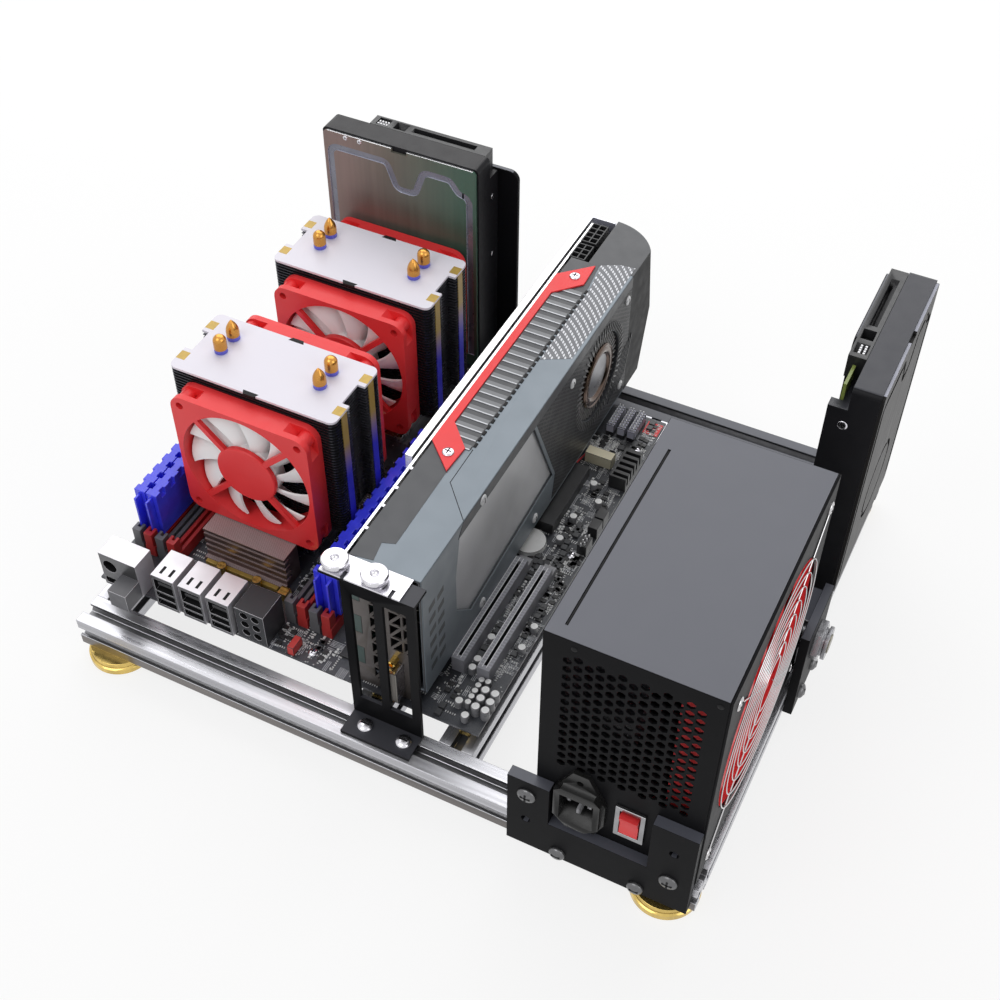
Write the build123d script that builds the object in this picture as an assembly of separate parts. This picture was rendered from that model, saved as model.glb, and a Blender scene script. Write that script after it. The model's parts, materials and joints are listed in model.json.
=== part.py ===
from build123d import *
import os

# Open air test bench: T-slot rail frame with a dual processor board, card, power supply and drives.
# Origin: middle of the frame at floor level, X right along the front rail, Y back, Z up, millimetres.

# Rail frame
rail = 20.0
slot_open = 6.2
slot_lip = 1.8
slot_wide = 11.0
slot_floor = 5.8
slot_depth = 5.8
frame_width = 374.0
frame_depth = 318.0
middle_rail_offset = 168.0
board_rail_offset = 220.5

# Feet
foot_dia = 37.0
foot_height = 8.0
foot_collar_dia = 34.0
foot_collar = 3.0
foot_inset = 19.0

# Screws
screw_head_dia = 9.0
screw_head = 3.0
screw_shank_dia = 5.0
screw_hole_dia = 5.4
screw_reach = 3.6

# Motherboard
board_thick = 1.6
board_depth = 260.2
board_gap = 6.5
standoff_height = 8.4
standoff_across = 9.0
standoff_front = 7.5
standoff_rear_left = [183.5, 253.5]
standoff_rear_right = [133.5, 227.5]

# Ports along the front edge
port_overhang = 2.4
port_depth = 20.0
port_height = 26.0
port_wall = 1.2
port_cavity = 13.0
port_width = 14.6
port_pitch = 17.8
port_first = 41.0
port_floor = 2.0
jack_socket = 9.6
usb_socket = 4.6
mouse_width = 25.0
mouse_first = 5.6
mouse_depth = 14.4
mouse_dia = 9.0
serial_width = 12.0
serial_height = 12.5
serial_depth = 13.0
audio_first = 93.2
audio_width = 18.4
audio_depth = 18.5
audio_height = 24.0
audio_dia = 5.0
audio_low = 5.0
audio_pitch = 7.2

# Memory
ram_slot_width = 6.4
ram_slot_length = 141.0
ram_slot_height = 8.0
ram_groove = 1.8
ram_groove_depth = 5.0
ram_latch_length = 6.0
ram_latch_height = 18.0
ram_latch_slim = 1.0
ram_groove_run = 3.0
ram_left_front = 26.0
ram_right_front = 20.0
ram_left_first = 9.0
ram_right_first = 114.4
ram_pitch = 7.75
ram_length = 131.0
ram_thick = 1.4
ram_height = 38.0
spreader_wide = 7.2
spreader_clear = 0.1
spreader_lift = 2.0
spreader_cap = 2.0
comb_count = 13
comb_gap = 4.0
comb_depth = 5.0
comb_pitch = 9.0
comb_bite = 1.5

# Board parts
vrm_first = 46.0
vrm_front = 39.8
vrm_width = 54.0
vrm_depth = 13.6
vrm_height = 24.0
vrm_flange = 3.0
vrm_groove = 1.6
vrm_groove_depth = 5.0
vrm_groove_low = 6.0
vrm_groove_pitch = 4.8
vrm_groove_count = 4
big_can_dia = 5.2
big_can_height = 7.0
big_can_columns = [233.0, 238.7]
big_can_rows = [11.8, 17.6, 23.4]
small_can_dia = 3.6
small_can_height = 5.0
small_can_column = 227.6
small_can_first = 13.6
small_can_pitch = 4.0
loose_can_places = [(222.5, 139.5), (222.5, 158.5), (222.5, 188.2), (231.0, 175.8)]
pcie_width = 7.4
pcie_length = 79.5
pcie_height = 11.0
pcie_front = 31.8
pcie_groove = 1.9
pcie_groove_depth = 8.0
pcie_latch = 6.0
pcie_end = 3.0
pcie_other = [212.0, 227.2]
sata_place = (229.5, 194.0)
sata_size = (11.0, 26.0, 10.0)
sata_mouth = (9.5, 2.4, 7.0)
sata_pitch = 4.8
sata_count = 5
sata_rim = 1.5
chipset_place = (197.0, 143.5)
chipset_size = (19.0, 53.0, 8.0)
header_columns = [210.2, 217.4, 224.0]
header_front = 234.5
header_size = (5.0, 19.5, 8.5)
edge_box_rows = [(136.5, 9.0), (152.0, 8.0), (161.2, 8.0)]
edge_box_column = 234.5
edge_box_wide = 6.0
edge_box_tall = 8.0
coin_place = (207.0, 131.0)
coin_dia = 20.0
coin_tall = 3.6
cream_place = (208.0, 207.0)
cream_size = (17.5, 7.0, 8.0)
red_header_place = (124.0, 0.8)
red_header_size = (4.2, 9.0, 6.5)
coil_places = [(60.0, 33.6), (83.6, 33.6)]
coil_dia = 5.8
coil_tall = 6.0
yellow_coil_place = (98.6, 30.6)
yellow_coil_side = 6.0
chip_places = [(150.0, 12.0), (224.0, 225.0)]
chip_side = 8.0
chip_tall = 1.6
socket_side = 56.0
socket_height = 5.0

# Processor coolers
cooler_x = -114.0
cooler_first_front = -66.0
cooler_pitch = 102.5
fin_width = 102.5
fin_depth = 48.0
fin_thick = 0.9
fin_count = 9
fin_base = 70.0
fin_top = 149.0
fin_notch = 9.0
fin_notch_wide = 16.0
fin_corner = 4.0
plate_thick = 1.4
pipe_dia = 6.0
pipe_span = 62.0
pipe_shift = -1.0
pipe_pitch = 12.0
pipe_back = 4.0
pipe_clear = 0.05
pipe_bend = 10.0
tip_dia = 8.0
tip_dome = 12.3
tip_point = 16.0
tip_straight = 5.0
tip_end = 0.8
cooler_base_side = 44.0
cooler_base_height = 11.0

# Cooler fans
fan_side = 85.0
fan_depth = 14.0
fan_corner = 8.0
fan_bore_dia = 80.0
fan_bottom = 63.0
fan_hub_dia = 37.0
fan_hub_plate = 3.0
fan_spoke = 3.0
fan_spoke_count = 4
fan_hole_dia = 4.6
fan_hole_inset = 6.0
fan_flange = 3.6
fan_cut = 16.0
fan_post_dia = 8.4
spoke_turn = 45.0
spoke_root = 1.0
blade_count = 11
blade_thick = 1.2
blade_chord = 20.5
blade_angle = 32.0
blade_root_share = 0.6
blade_root_turn = 10.0
blade_tip_turn = 8.0
rotor_gap = 0.6
rotor_depth = 9.0
tip_clear = 1.2
shaft_dia = 4.0
shaft_clear = 0.05
shaft_short = 0.4

# Graphics card
gpu_x = -22.0
gpu_front = -129.0
gpu_length = 306.0
gpu_thick = 43.4
gpu_bottom = 49.5
gpu_top = 140.0
gpu_board_thick = 1.6
gpu_wall = 2.0
gpu_finger_inset = 4.0
gpu_board_margin = 1.0
gpu_board_short = 8.0
backplate_thick = 4.2
backplate_gap = 1.6
backplate_front = 74.0
backplate_boss_dia = 6.0
backplate_low = 4.0
backplate_boss_rows = [0.08, 0.85]
backplate_boss_heights = [0.15, 0.85]
backplate_end = 1.6
backplate_return = 19.0
window_front = 36.0
window_brow = 5.0
window_chin = 16.0
window_back_high = 127.5
window_back_low = 155.0
window_low = 13.0
window_rise = 8.5
window_cheek_low = 30.5
window_cheek_high = 56.5
window_high = 82.0
window_thick = 1.6
window_lap = 3.0
blower_y = 217.0
blower_z = 47.5
blower_dia = 66.0
blower_depth = 22.0
blower_blades = 22
blower_bore = 56.0
blower_hub_dia = 34.0
blower_hub_tall = 28.0
blower_hub_cap = 2.0
blower_lift = 4.0
blower_disc = 2.0
vane_long = 10.0
vane_thick = 1.2
vane_inset = 7.0
vane_turn = 35.0
rib_first = 91.0
rib_count = 21
rib_pitch = 7.0
rib_wide = 1.6
rib_long = 16.0
rib_deep = 0.8
rib_inset = 4.4
trim_thick = 1.2
trim_band = 4.6
trim_front = 88.0
trim_back = 242.0
trim_wide = 17.5
trim_slant = 17.0
trim_rise = 2.0
cap_start = 261.0
cap_inset = 11.0
cap_low_end = 284.0
cap_middle_end = 296.0
cap_high_end = 288.0
cap_low_tail = 297.0
cap_waist = 0.47
cap_bow = 0.36
cap_swell = 0.66
heatsink_base = 2.0
heatsink_front = 14.0
heatsink_length = 246.0
heatsink_edge = 2.0
heatsink_clear = 1.0
heatsink_fin_low = 2.0
heatsink_fin_high = 6.0
heatsink_fins = 9
heatsink_fin = 1.2

# Card stand
stand_thick = 2.0
stand_width = 41.0
stand_x = -15.6
stand_plate_y = 16.7
stand_bar = 5.0
stand_window_low = 10.6
stand_window_high = 96.0
stand_foot = 14.7
stand_lip = 12.3
stand_lip_over = 12.0
stand_screw_first = 10.6
stand_screw_gap = 23.0
bracket_thick = 1.0
bracket_wide = 41.5
bracket_over = 3.0
bracket_lift = 1.0
flange_wide = 44.3
flange_over = 4.7
thumb_dia = 14.0
thumb_height = 5.0
thumb_first = 1.0
thumb_gap = 22.0
video_wide = 6.0
video_tall = 14.0
video_deep = 13.0
video_low = 5.5
video_pitch = 26.0
video_count = 3
video_clear = 0.2
plug_inset = 20.4
plug_wide = 9.0
plug_out = 8.0
plug_tall = 24.0
plug_drop = 5.0
power_pitch = 4.6
power_wall = 0.8
power_tall = 13.0
power_deep = 6.0
power_first = 262.0
power_second = 279.0
lattice_bar = 1.3
lattice_wide = 8.0
lattice_tall = 10.5
lattice_left = 15.2
lattice_left_drop = 4.0
lattice_left_rows = 8
lattice_right = 26.5
lattice_right_low = 28.0
lattice_right_rows = 5
flange_notch_wide = 2.0
flange_notch_deep = 4.5
flange_notches = [11.8, 38.0]

# Power supply
psu_x = 99.0
psu_wide = 86.0
psu_deep = 146.0
psu_tall = 150.0
psu_lift = 6.0
psu_wall = 1.2
psu_seam = 7.0
psu_hole = 4.8
psu_hole_column = 5.15
psu_hole_row = 6.1
psu_field_left = 12.0
psu_field_low = 56.0
psu_field_columns = 13
psu_field_rows = 14
psu_fan_dia = 126.0
psu_fan_y = 73.0
psu_fan_z = 75.0
psu_fan_side = 132.0
psu_fan_depth = 22.0
psu_blades = 9
psu_blade_chord = 34.0
psu_blade_angle = 30.0
grille_wire = 1.6
grille_rings = 6
grille_hub_dia = 30.0
grille_inset = 6.0
supply_front = 22.0
supply_low = 6.0
supply_thick = 2.0
supply_deep = 112.0
supply_tall = 138.0
supply_blocks = [(34.0, 40.0, 30.0, 34.0, 36.0), (12.0, 86.0, 26.0, 6.0, 44.0), (78.0, 16.0, 26.0, 6.0, 80.0)]
supply_coil = (28.0, 24.0)
supply_coil_dia = 24.0
supply_coil_long = 30.0

# Mains inlet and rocker switch
inlet_x = 23.5
inlet_z = 28.0
inlet_wide = 24.0
inlet_tall = 31.0
inlet_cut = 7.0
inlet_round = 3.5
inlet_out = 6.0
inlet_lap = 4.0
inlet_mouth_wide = 17.6
inlet_mouth_tall = 20.6
inlet_flange = 2.4
inlet_flange_wide = 27.0
inlet_flange_side = 8.0
inlet_flange_top = 27.0
inlet_flange_low = 19.0
inlet_flange_tip = 4.0
inlet_flange_base = 9.0
inlet_screw = 20.5
inlet_screw_dia = 3.6
inlet_back = 14.0
inlet_floor = 4.0
inlet_pin_out = 2.0
inlet_pins = [(0.0, -4.5), (-5.5, 3.5), (5.5, 3.5)]
inlet_pin_wide = 2.0
inlet_pin_tall = 4.0
rocker_x = 49.5
rocker_z = 29.5
bezel_wide = 15.5
bezel_tall = 24.5
bezel_out = 2.0
bezel_rim = 2.6
bezel_lap = 2.0
bezel_back = 12.0
bezel_floor = 2.0
rocker_out = 4.6
rocker_clear = 0.4
rocker_end = 1.6
rocker_root = 6.0
rocker_taper = 2.0
rocker_crest = 0.5
rocker_bevel = 0.6
rocker_pin_dia = 2.0

# Power supply bracket
bracket_plate = 6.0
bracket_left = -12.9
bracket_right = 85.2
bracket_low = -21.0
bracket_web = 7.0
bracket_left_arm = 22.4
bracket_left_top = 36.5
bracket_right_arm = 23.2
bracket_right_top = 46.7
bracket_hole_dia = 5.0
bracket_left_hole = (10.3, 3.0)
bracket_right_hole = (11.0, 28.4)
bracket_rail_screws = [15.6, 58.0]

# Drives
drive_wide = 101.6
drive_tall = 147.0
drive_thick = 26.0
drive_cover = 1.6
drive_board = 1.6
drive_margin = 6.0
drive_recess = 5.7
drive_corner = 3.0
drive_deck = 16.0
drive_step = 14.0
drive_plug_first = 23.3
drive_plug_long = 75.3
drive_plug_deep = 9.2
drive_plug_clear = 0.2
drive_plug_wall = 1.2
drive_plug_cell = 8.0
drive_plug_wells = [3.0, 14.5]
drive_plug_tongue = 2.0
drive_plug_mouth = 26.0
drive_plug_mouth_long = 41.0
drive_plug_mouth_wide = 4.4
drive_plug_sink = 7.0
drive_board_rise = 9.5
drive_board_clear = 1.0
drive_cover_inset = 1.0
channel_wide = 4.2
channel_deep = 0.8
channel_side = 5.2
channel_low = 10.0
channel_top = 136.0
channel_dips = [43.0, 49.0, 61.0, 67.0, 84.0, 90.0]
channel_dip = 119.5
channel_shoulder = 128.0
channel_bend = 5.0
hub_ring_dia = 46.0
hub_ring_wide = 3.0
hub_ring_z = 46.0
cover_notch_first = 46.3
cover_notch_wide = 10.0
cover_notch_deep = 2.4
drive_lift = 56.5
left_drive_x = -167.0
left_drive_y = 102.0
right_drive_x = 165.3
right_drive_y = 24.0
drive_bracket = 3.0
drive_bracket_tall = 134.0
drive_bracket_lap = 13.0
drive_bracket_near = 16.0
drive_bracket_corner = 6.0

# Power button plate
plate_y = -4.5
plate_wide = 42.0
plate_tall = 66.0
plate_thick = 5.0
plate_screw_gap = 21.0
button_z = 44.0
button_dia = 16.0
button_hole_dia = 16.2
button_head_dia = 19.0
button_head = 2.0
button_out = 3.4
button_in = 16.0
button_cap_dia = 11.0
button_cap = 6.0
button_cap_out = 0.6
button_cap_clear = 0.3
button_travel = 2.0
nut_across = 21.0
nut_thick = 4.0

# Shared places worked out from the sizes above
left = -frame_width / 2
front = -frame_depth / 2
rail_top = foot_height + rail
board_x = left
board_y = front + rail + board_gap
board_width = board_rail_offset + rail
board_top = rail_top + standoff_height + board_thick
psu_z = rail_top + psu_lift
ram_pcb_low = board_top + ram_slot_height - ram_groove_depth
rail_slot_z = foot_height + rail / 2
rail_slot_y = front + rail / 2
stand_screws = [stand_x + stand_screw_first + i * stand_screw_gap for i in range(2)]
bracket_screws = [psu_x + x for x in bracket_rail_screws]

os.makedirs("parts", exist_ok=True)


def block(x, y, z, dx, dy, dz):
    """Box from its low corner."""
    return Pos(x + dx / 2, y + dy / 2, z + dz / 2) * Box(dx, dy, dz)


def rod_x(x, y, z, dia, length):
    """Round bar from x along +X."""
    return Pos(x + length / 2, y, z) * Rot(0, 90, 0) * Cylinder(dia / 2, length)


def rod_y(x, y, z, dia, length):
    """Round bar from y along +Y."""
    return Pos(x, y + length / 2, z) * Rot(90, 0, 0) * Cylinder(dia / 2, length)


def rod_z(x, y, z, dia, length):
    """Round bar from z along +Z."""
    return Pos(x, y, z + length / 2) * Cylinder(dia / 2, length)


def outline(points):
    """Closed face through corner points in the XY plane."""
    return make_face(Polyline(*points, close=True))


def wall_y(sketch, y, depth):
    """Sketch drawn in X and Z, set at y and given depth towards +Y."""
    return Pos(0, y + depth, 0) * extrude(Plane.XZ * sketch, depth)


def wall_x(sketch, x, depth):
    """Sketch drawn in Y and Z, set at x and given depth towards +X."""
    return Pos(x, 0, 0) * extrude(Plane.YZ * sketch, depth)


def wall_z(sketch, z, depth):
    """Sketch drawn in X and Y, set at z and given depth upwards."""
    return Pos(0, 0, z) * extrude(sketch, depth)


def on_board(u, v, dx, dy, dz, lift=0.0):
    """Box on the motherboard, placed from the board's front left corner."""
    return block(board_x + u, board_y + v, board_top + lift, dx, dy, dz)


def can(u, v, dia, height):
    """Round can standing on the motherboard."""
    return rod_z(board_x + u, board_y + v, board_top, dia, height)


def group(solids):
    """Several separate solids as one node."""
    return Compound(children=list(solids))


def save(name, shape):
    export_step(shape, f"parts/{name}.step")


# Rails
def rail_section():
    """T-slot profile with one slot in each side."""
    half = rail / 2
    slot = outline([
        (slot_open / 2, half + 1),
        (slot_open / 2, half - slot_lip),
        (slot_wide / 2, half - slot_lip),
        (slot_floor / 2, half - slot_depth),
        (-slot_floor / 2, half - slot_depth),
        (-slot_wide / 2, half - slot_lip),
        (-slot_open / 2, half - slot_lip),
        (-slot_open / 2, half + 1),
    ])
    face = Rectangle(rail, rail)
    for turn in range(4):
        face -= Rot(0, 0, 90 * turn) * slot
    return face


def long_rail(y):
    return Pos(left, y + rail / 2, foot_height + rail / 2) * extrude(Plane.YZ * rail_section(), frame_width)


def cross_rail(x):
    length = frame_depth - 2 * rail
    profile = extrude(Plane.XZ * rail_section(), length)
    return Pos(x + rail / 2, front + rail + length, foot_height + rail / 2) * profile


save("front_rail", long_rail(front))
save("rear_rail", long_rail(-front - rail))
save("left_rail", cross_rail(left))
save("middle_rail", cross_rail(left + middle_rail_offset))
save("board_rail", cross_rail(left + board_rail_offset))
save("right_rail", cross_rail(-left - rail))


# Feet
def foot(x, y):
    """Turned brass foot: a wide base with a smaller collar under the rail."""
    base = rod_z(x, y, 0, foot_dia, foot_height - foot_collar)
    return base + rod_z(x, y, foot_height - foot_collar, foot_collar_dia, foot_collar)


foot_x = frame_width / 2 - foot_inset
foot_y = frame_depth / 2 - rail / 2
save("feet", group([foot(i * foot_x, j * foot_y) for i in (-1, 1) for j in (-1, 1)]))


# Motherboard on its spacers
save("motherboard", block(board_x, board_y, board_top - board_thick, board_width, board_depth, board_thick))

rail_middles = [left + rail / 2, left + middle_rail_offset + rail / 2, left + board_rail_offset + rail / 2]
standoff_rows = [standoff_rear_left, standoff_rear_left, standoff_rear_right]
standoff_face = RegularPolygon(standoff_across / 2, 6, major_radius=False)
save("board_standoffs", group([
    wall_z(Pos(x, board_y + v) * standoff_face, rail_top, standoff_height)
    for x, rear in zip(rail_middles, standoff_rows) for v in [standoff_front] + rear
]))


# Ports
def lan_block(u):
    """Tall shielded stack: one network socket over two serial bus sockets."""
    inner = port_width - 2 * port_wall
    shell = on_board(u, -port_overhang, port_width, port_depth, port_height)
    low = port_floor
    for height in (usb_socket, usb_socket, jack_socket):
        shell -= on_board(u + port_wall, -port_overhang, inner, port_cavity, height, low)
        low += height + port_wall
    return shell


def mouse_block():
    """Low shielded stack with a round socket over a flat one."""
    shell = on_board(mouse_first, -port_overhang, mouse_width, mouse_depth, port_height)
    x = board_x + mouse_first + mouse_width / 4
    y = board_y - port_overhang
    shell -= rod_y(x, y, board_top + port_height - mouse_dia, mouse_dia, port_cavity - 2)
    width = mouse_width / 2 - 2 * port_wall
    shell -= on_board(mouse_first + port_wall, -port_overhang, width, port_cavity - 2, usb_socket, port_floor)
    return shell


def serial_plug():
    """Low grey connector standing in front of the right half of the mouse block."""
    u = mouse_first + mouse_width / 2 + 1
    return on_board(u, -port_overhang - serial_depth, serial_width, serial_depth, serial_height, port_floor)


def audio_block():
    """Block of six round sound sockets."""
    shell = on_board(audio_first, 0, audio_width, audio_depth, audio_height)
    for column in (-0.5, 0.5):
        for row in range(3):
            x = board_x + audio_first + audio_width / 2 + column * audio_pitch
            z = board_top + audio_low + row * audio_pitch
            shell -= rod_y(x, board_y, z, audio_dia, port_cavity)
    return shell


lan_blocks = [lan_block(port_first + i * port_pitch) for i in range(3)]
save("rear_ports", group([mouse_block(), serial_plug(), audio_block()] + lan_blocks))


# Memory
def ram_slot(u, v):
    """Long socket with an upright latch at each end."""
    body = on_board(u - ram_slot_width / 2, v, ram_slot_width, ram_slot_length, ram_slot_height)
    groove_lift = ram_slot_height - ram_groove_depth
    groove_length = ram_slot_length - 2 * ram_latch_length
    latch_width = ram_slot_width - ram_latch_slim
    for end in (0, ram_slot_length - ram_latch_length):
        body += on_board(u - latch_width / 2, v + end, latch_width, ram_latch_length, ram_latch_height)
    body -= on_board(u - ram_groove / 2, v + ram_latch_length - ram_groove_run, ram_groove,
                     groove_length + 2 * ram_groove_run, ram_latch_height, groove_lift)
    return body


def ram_module(u, v):
    """Memory board with a finned spreader over it."""
    start = v + (ram_slot_length - ram_length) / 2
    board = block(board_x + u - ram_thick / 2, board_y + start, ram_pcb_low, ram_thick, ram_length,
                  ram_height - spreader_cap)
    low = board_top + ram_slot_height + spreader_lift
    tall = ram_pcb_low + ram_height - low
    inset = ram_latch_length - 1
    length = ram_length - 2 * inset
    y = board_y + start + inset
    shell = block(board_x + u - spreader_wide / 2, y, low, spreader_wide, length, tall)
    gap = ram_thick + 2 * spreader_clear
    shell -= block(board_x + u - gap / 2, y - 1, low, gap, length + 2, tall - spreader_cap + spreader_clear)
    middle = y + length / 2
    top = low + tall - comb_depth
    for i in range(comb_count):
        notch = middle + (i - (comb_count - 1) / 2) * comb_pitch - comb_gap / 2
        for side in (-1, 1):
            x = board_x + u + side * spreader_wide / 2 - comb_bite
            shell -= block(x, notch, top, 2 * comb_bite, comb_gap, comb_depth)
    return [board, shell]


slots = {0: [], 1: []}
for first, v in ((ram_left_first, ram_left_front), (ram_right_first, ram_right_front)):
    for i in range(4):
        slots[i % 2].append(ram_slot(first + i * ram_pitch, v))
save("ram_slots_grey", group(slots[0]))
save("ram_slots_red", group(slots[1]))

modules = []
for i in (0, 1):
    modules += ram_module(ram_left_first + i * ram_pitch, ram_left_front)
for i in (2, 3):
    modules += ram_module(ram_right_first + i * ram_pitch, ram_right_front)
save("ram_modules", group(modules))


# Voltage regulator heatsink
def vrm_heatsink():
    """Finned bar with a low mounting flange."""
    bar = on_board(vrm_first, vrm_front, vrm_width, vrm_depth, vrm_height)
    bar += on_board(vrm_first, vrm_front - vrm_flange, vrm_width, vrm_flange, vrm_flange)
    for i in range(vrm_groove_count):
        lift = vrm_groove_low + i * vrm_groove_pitch
        bar -= on_board(vrm_first, vrm_front, vrm_width, vrm_groove_depth, vrm_groove, lift)
    return bar


save("vrm_heatsink", vrm_heatsink())

# Round capacitors near the front right corner and beside the chipset
big_cans = [(u, v) for u in big_can_columns for v in big_can_rows]
small_cans = [(small_can_column, small_can_first + i * small_can_pitch) for i in range(4)]
save("capacitors", group(
    [can(u, v, big_can_dia, big_can_height) for u, v in big_cans]
    + [can(u, v, small_can_dia, small_can_height) for u, v in small_cans]
    + [can(u, v, big_can_dia, small_can_height) for u, v in loose_can_places]
))


# Expansion slots
gpu_slot = gpu_x + gpu_board_thick / 2 - board_x


def pcie_slot(u):
    """Edge connector with a latch at its far end."""
    body = on_board(u - pcie_width / 2, pcie_front, pcie_width, pcie_length, pcie_height)
    body -= on_board(u - pcie_groove / 2, pcie_front + pcie_end, pcie_groove, pcie_length - 2 * pcie_end,
                     pcie_groove_depth, pcie_height - pcie_groove_depth)
    return body + on_board(u - pcie_width / 2, pcie_front + pcie_length, pcie_width, pcie_latch, pcie_height / 2)


save("pcie_slots", group([pcie_slot(u) for u in [gpu_slot] + pcie_other]))


# Small parts of the motherboard
def sata_block():
    """Stack of flat drive sockets facing right."""
    u, v = sata_place
    wide, deep, tall = sata_mouth
    body = on_board(u, v, *sata_size)
    for i in range(sata_count):
        body -= on_board(u + sata_rim, v + sata_rim + i * sata_pitch, wide, deep, tall, sata_size[2] - tall)
    return body


headers = [on_board(u, header_front, *header_size) for u in header_columns]
edge_boxes = [on_board(edge_box_column, v, edge_box_wide, length, edge_box_tall) for v, length in edge_box_rows]
coils = [can(u, v, coil_dia, coil_tall) for u, v in coil_places]
chips = [on_board(u, v, chip_side, chip_side, chip_tall) for u, v in chip_places]
save("board_parts", group(headers + edge_boxes + coils + chips + [
    sata_block(),
    on_board(*chipset_place, *chipset_size),
    can(*coin_place, coin_dia, coin_tall),
    on_board(*cream_place, *cream_size),
    on_board(*red_header_place, *red_header_size),
    on_board(*yellow_coil_place, yellow_coil_side, yellow_coil_side, yellow_coil_side),
]))


# Processor sockets and coolers
cooler_fronts = {"front": cooler_first_front, "rear": cooler_first_front + cooler_pitch}


def cooler_middle(y):
    return y + fin_depth / 2 + pipe_back


def cpu_socket(y):
    low = board_top
    return block(cooler_x - socket_side / 2, cooler_middle(y) - socket_side / 2, low, socket_side, socket_side,
                 socket_height)


save("cpu_sockets", group([cpu_socket(y) for y in cooler_fronts.values()]))


def pipe_end(pointed):
    """Turned end of a heat pipe that sits on the top plate: a drawn point or a dome."""
    r = tip_dia / 2
    if pointed:
        side = Line((r, 0), (r, tip_straight))
        nose = ThreePointArc(
            (r, tip_straight), (0.66 * r, (tip_straight + tip_point) / 2), (tip_end, tip_point))
        crown = Line((tip_end, tip_point), (0, tip_point))
        edge = side + nose + crown + Line((0, tip_point), (0, 0)) + Line((0, 0), (r, 0))
    else:
        shoulder = tip_dome - r
        side = Line((r, 0), (r, shoulder))
        nose = RadiusArc((r, shoulder), (0, tip_dome), -r)
        edge = side + nose + Line((0, tip_dome), (0, 0)) + Line((0, 0), (r, 0))
    return revolve(Plane.XZ * make_face(edge), Axis.Z)


def heat_pipe(y, pointed_left):
    """U-shaped pipe that rises through the fins and ends in a drawn tip at each side."""
    low = board_top + socket_height + cooler_base_height / 2
    high = fin_top + plate_thick
    x0 = cooler_x + pipe_shift - pipe_span / 2
    x1 = x0 + pipe_span
    path = FilletPolyline((x0, y, high), (x0, y, low), (x1, y, low), (x1, y, high), radius=pipe_bend)
    section = Plane((x0, y, high), z_dir=(0, 0, -1)) * Circle(pipe_dia / 2)
    pipe = sweep(section, path)
    pipe += Pos(x0, y, high) * pipe_end(pointed_left)
    return pipe + Pos(x1, y, high) * pipe_end(not pointed_left)


def cooler_core(y):
    """Base block with the two heat pipes soldered through it."""
    middle = cooler_middle(y)
    low = board_top + socket_height
    core = block(cooler_x - cooler_base_side / 2, middle - cooler_base_side / 2, low, cooler_base_side,
                 cooler_base_side, cooler_base_height)
    core += heat_pipe(middle - pipe_pitch / 2, False)
    return core + heat_pipe(middle + pipe_pitch / 2, True)


def fin_face(y):
    """Fin outline: notched at both ends, with a window for each pair of pipes."""
    middle = y + fin_depth / 2
    face = Pos(cooler_x, middle) * RectangleRounded(fin_width, fin_depth, fin_corner)
    window = pipe_dia + 2 * pipe_clear
    for side in (-1, 1):
        face -= Pos(cooler_x + side * fin_width / 2, middle) * Rectangle(fin_notch, fin_notch_wide)
        for row in (-0.5, 0.5):
            spot = Pos(cooler_x + pipe_shift + side * pipe_span / 2, middle + pipe_back + row * pipe_pitch)
            face -= spot * Rectangle(window, window)
    return face


def fin_stack(y):
    """Evenly spaced fins under a thicker top plate."""
    face = fin_face(y)
    pitch = (fin_top - fin_base) / fin_count
    fins = [wall_z(face, fin_base + i * pitch, fin_thick) for i in range(fin_count)]
    return group(fins + [wall_z(face, fin_top, plate_thick)])


fan_z = fan_bottom + fan_side / 2


def fan_frame(y, outward):
    """Two square flanges on an eight sided duct with corner posts, and a hub plate on spokes."""
    spot = Pos(cooler_x, fan_z)
    half = fan_side / 2
    flange = RectangleRounded(fan_side, fan_side, fan_corner)
    near = half - fan_cut
    duct = outline([
        (half, near), (near, half), (-near, half), (-half, near), (-half, -near), (-near, -half), (near, -half),
        (half, -near),
    ])
    offset = half - fan_hole_inset
    for i in (-1, 1):
        for j in (-1, 1):
            hole = Pos(i * offset, j * offset) * Circle(fan_hole_dia / 2)
            flange -= hole
            duct = duct + Pos(i * offset, j * offset) * Circle(fan_post_dia / 2) - hole
    flange -= Circle(fan_bore_dia / 2)
    duct -= Circle(fan_bore_dia / 2)
    spider = Circle(fan_hub_dia / 2)
    for i in range(fan_spoke_count):
        turn = Rot(0, 0, spoke_turn + 360 / fan_spoke_count * i)
        spider += turn * Pos(fan_bore_dia / 4, 0) * Rectangle(fan_bore_dia / 2 + 2 * spoke_root, fan_spoke)
    spider -= Circle(shaft_dia / 2 + shaft_clear)
    hub_y = y if outward < 0 else y + fan_depth - fan_hub_plate
    frame = wall_y(spot * flange, y, fan_flange)
    frame += wall_y(spot * duct, y + fan_flange, fan_depth - 2 * fan_flange)
    frame += wall_y(spot * flange, y + fan_depth - fan_flange, fan_flange)
    return frame + wall_y(spot * spider, hub_y, fan_hub_plate)


def blade(inner, outer, chord, angle, thick):
    """One pitched fan blade along +X about the Z axis, wider at its tip."""
    sketches = []
    ends = ((inner, blade_root_share, angle + blade_root_turn), (outer, 1.0, angle - blade_tip_turn))
    for radius, scale, turn in ends:
        plane = Plane((radius, 0, 0), x_dir=(0, 1, 0), z_dir=(1, 0, 0))
        sketches.append(plane * Rot(0, 0, turn) * Rectangle(chord * scale, thick))
    return loft(sketches)


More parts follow.
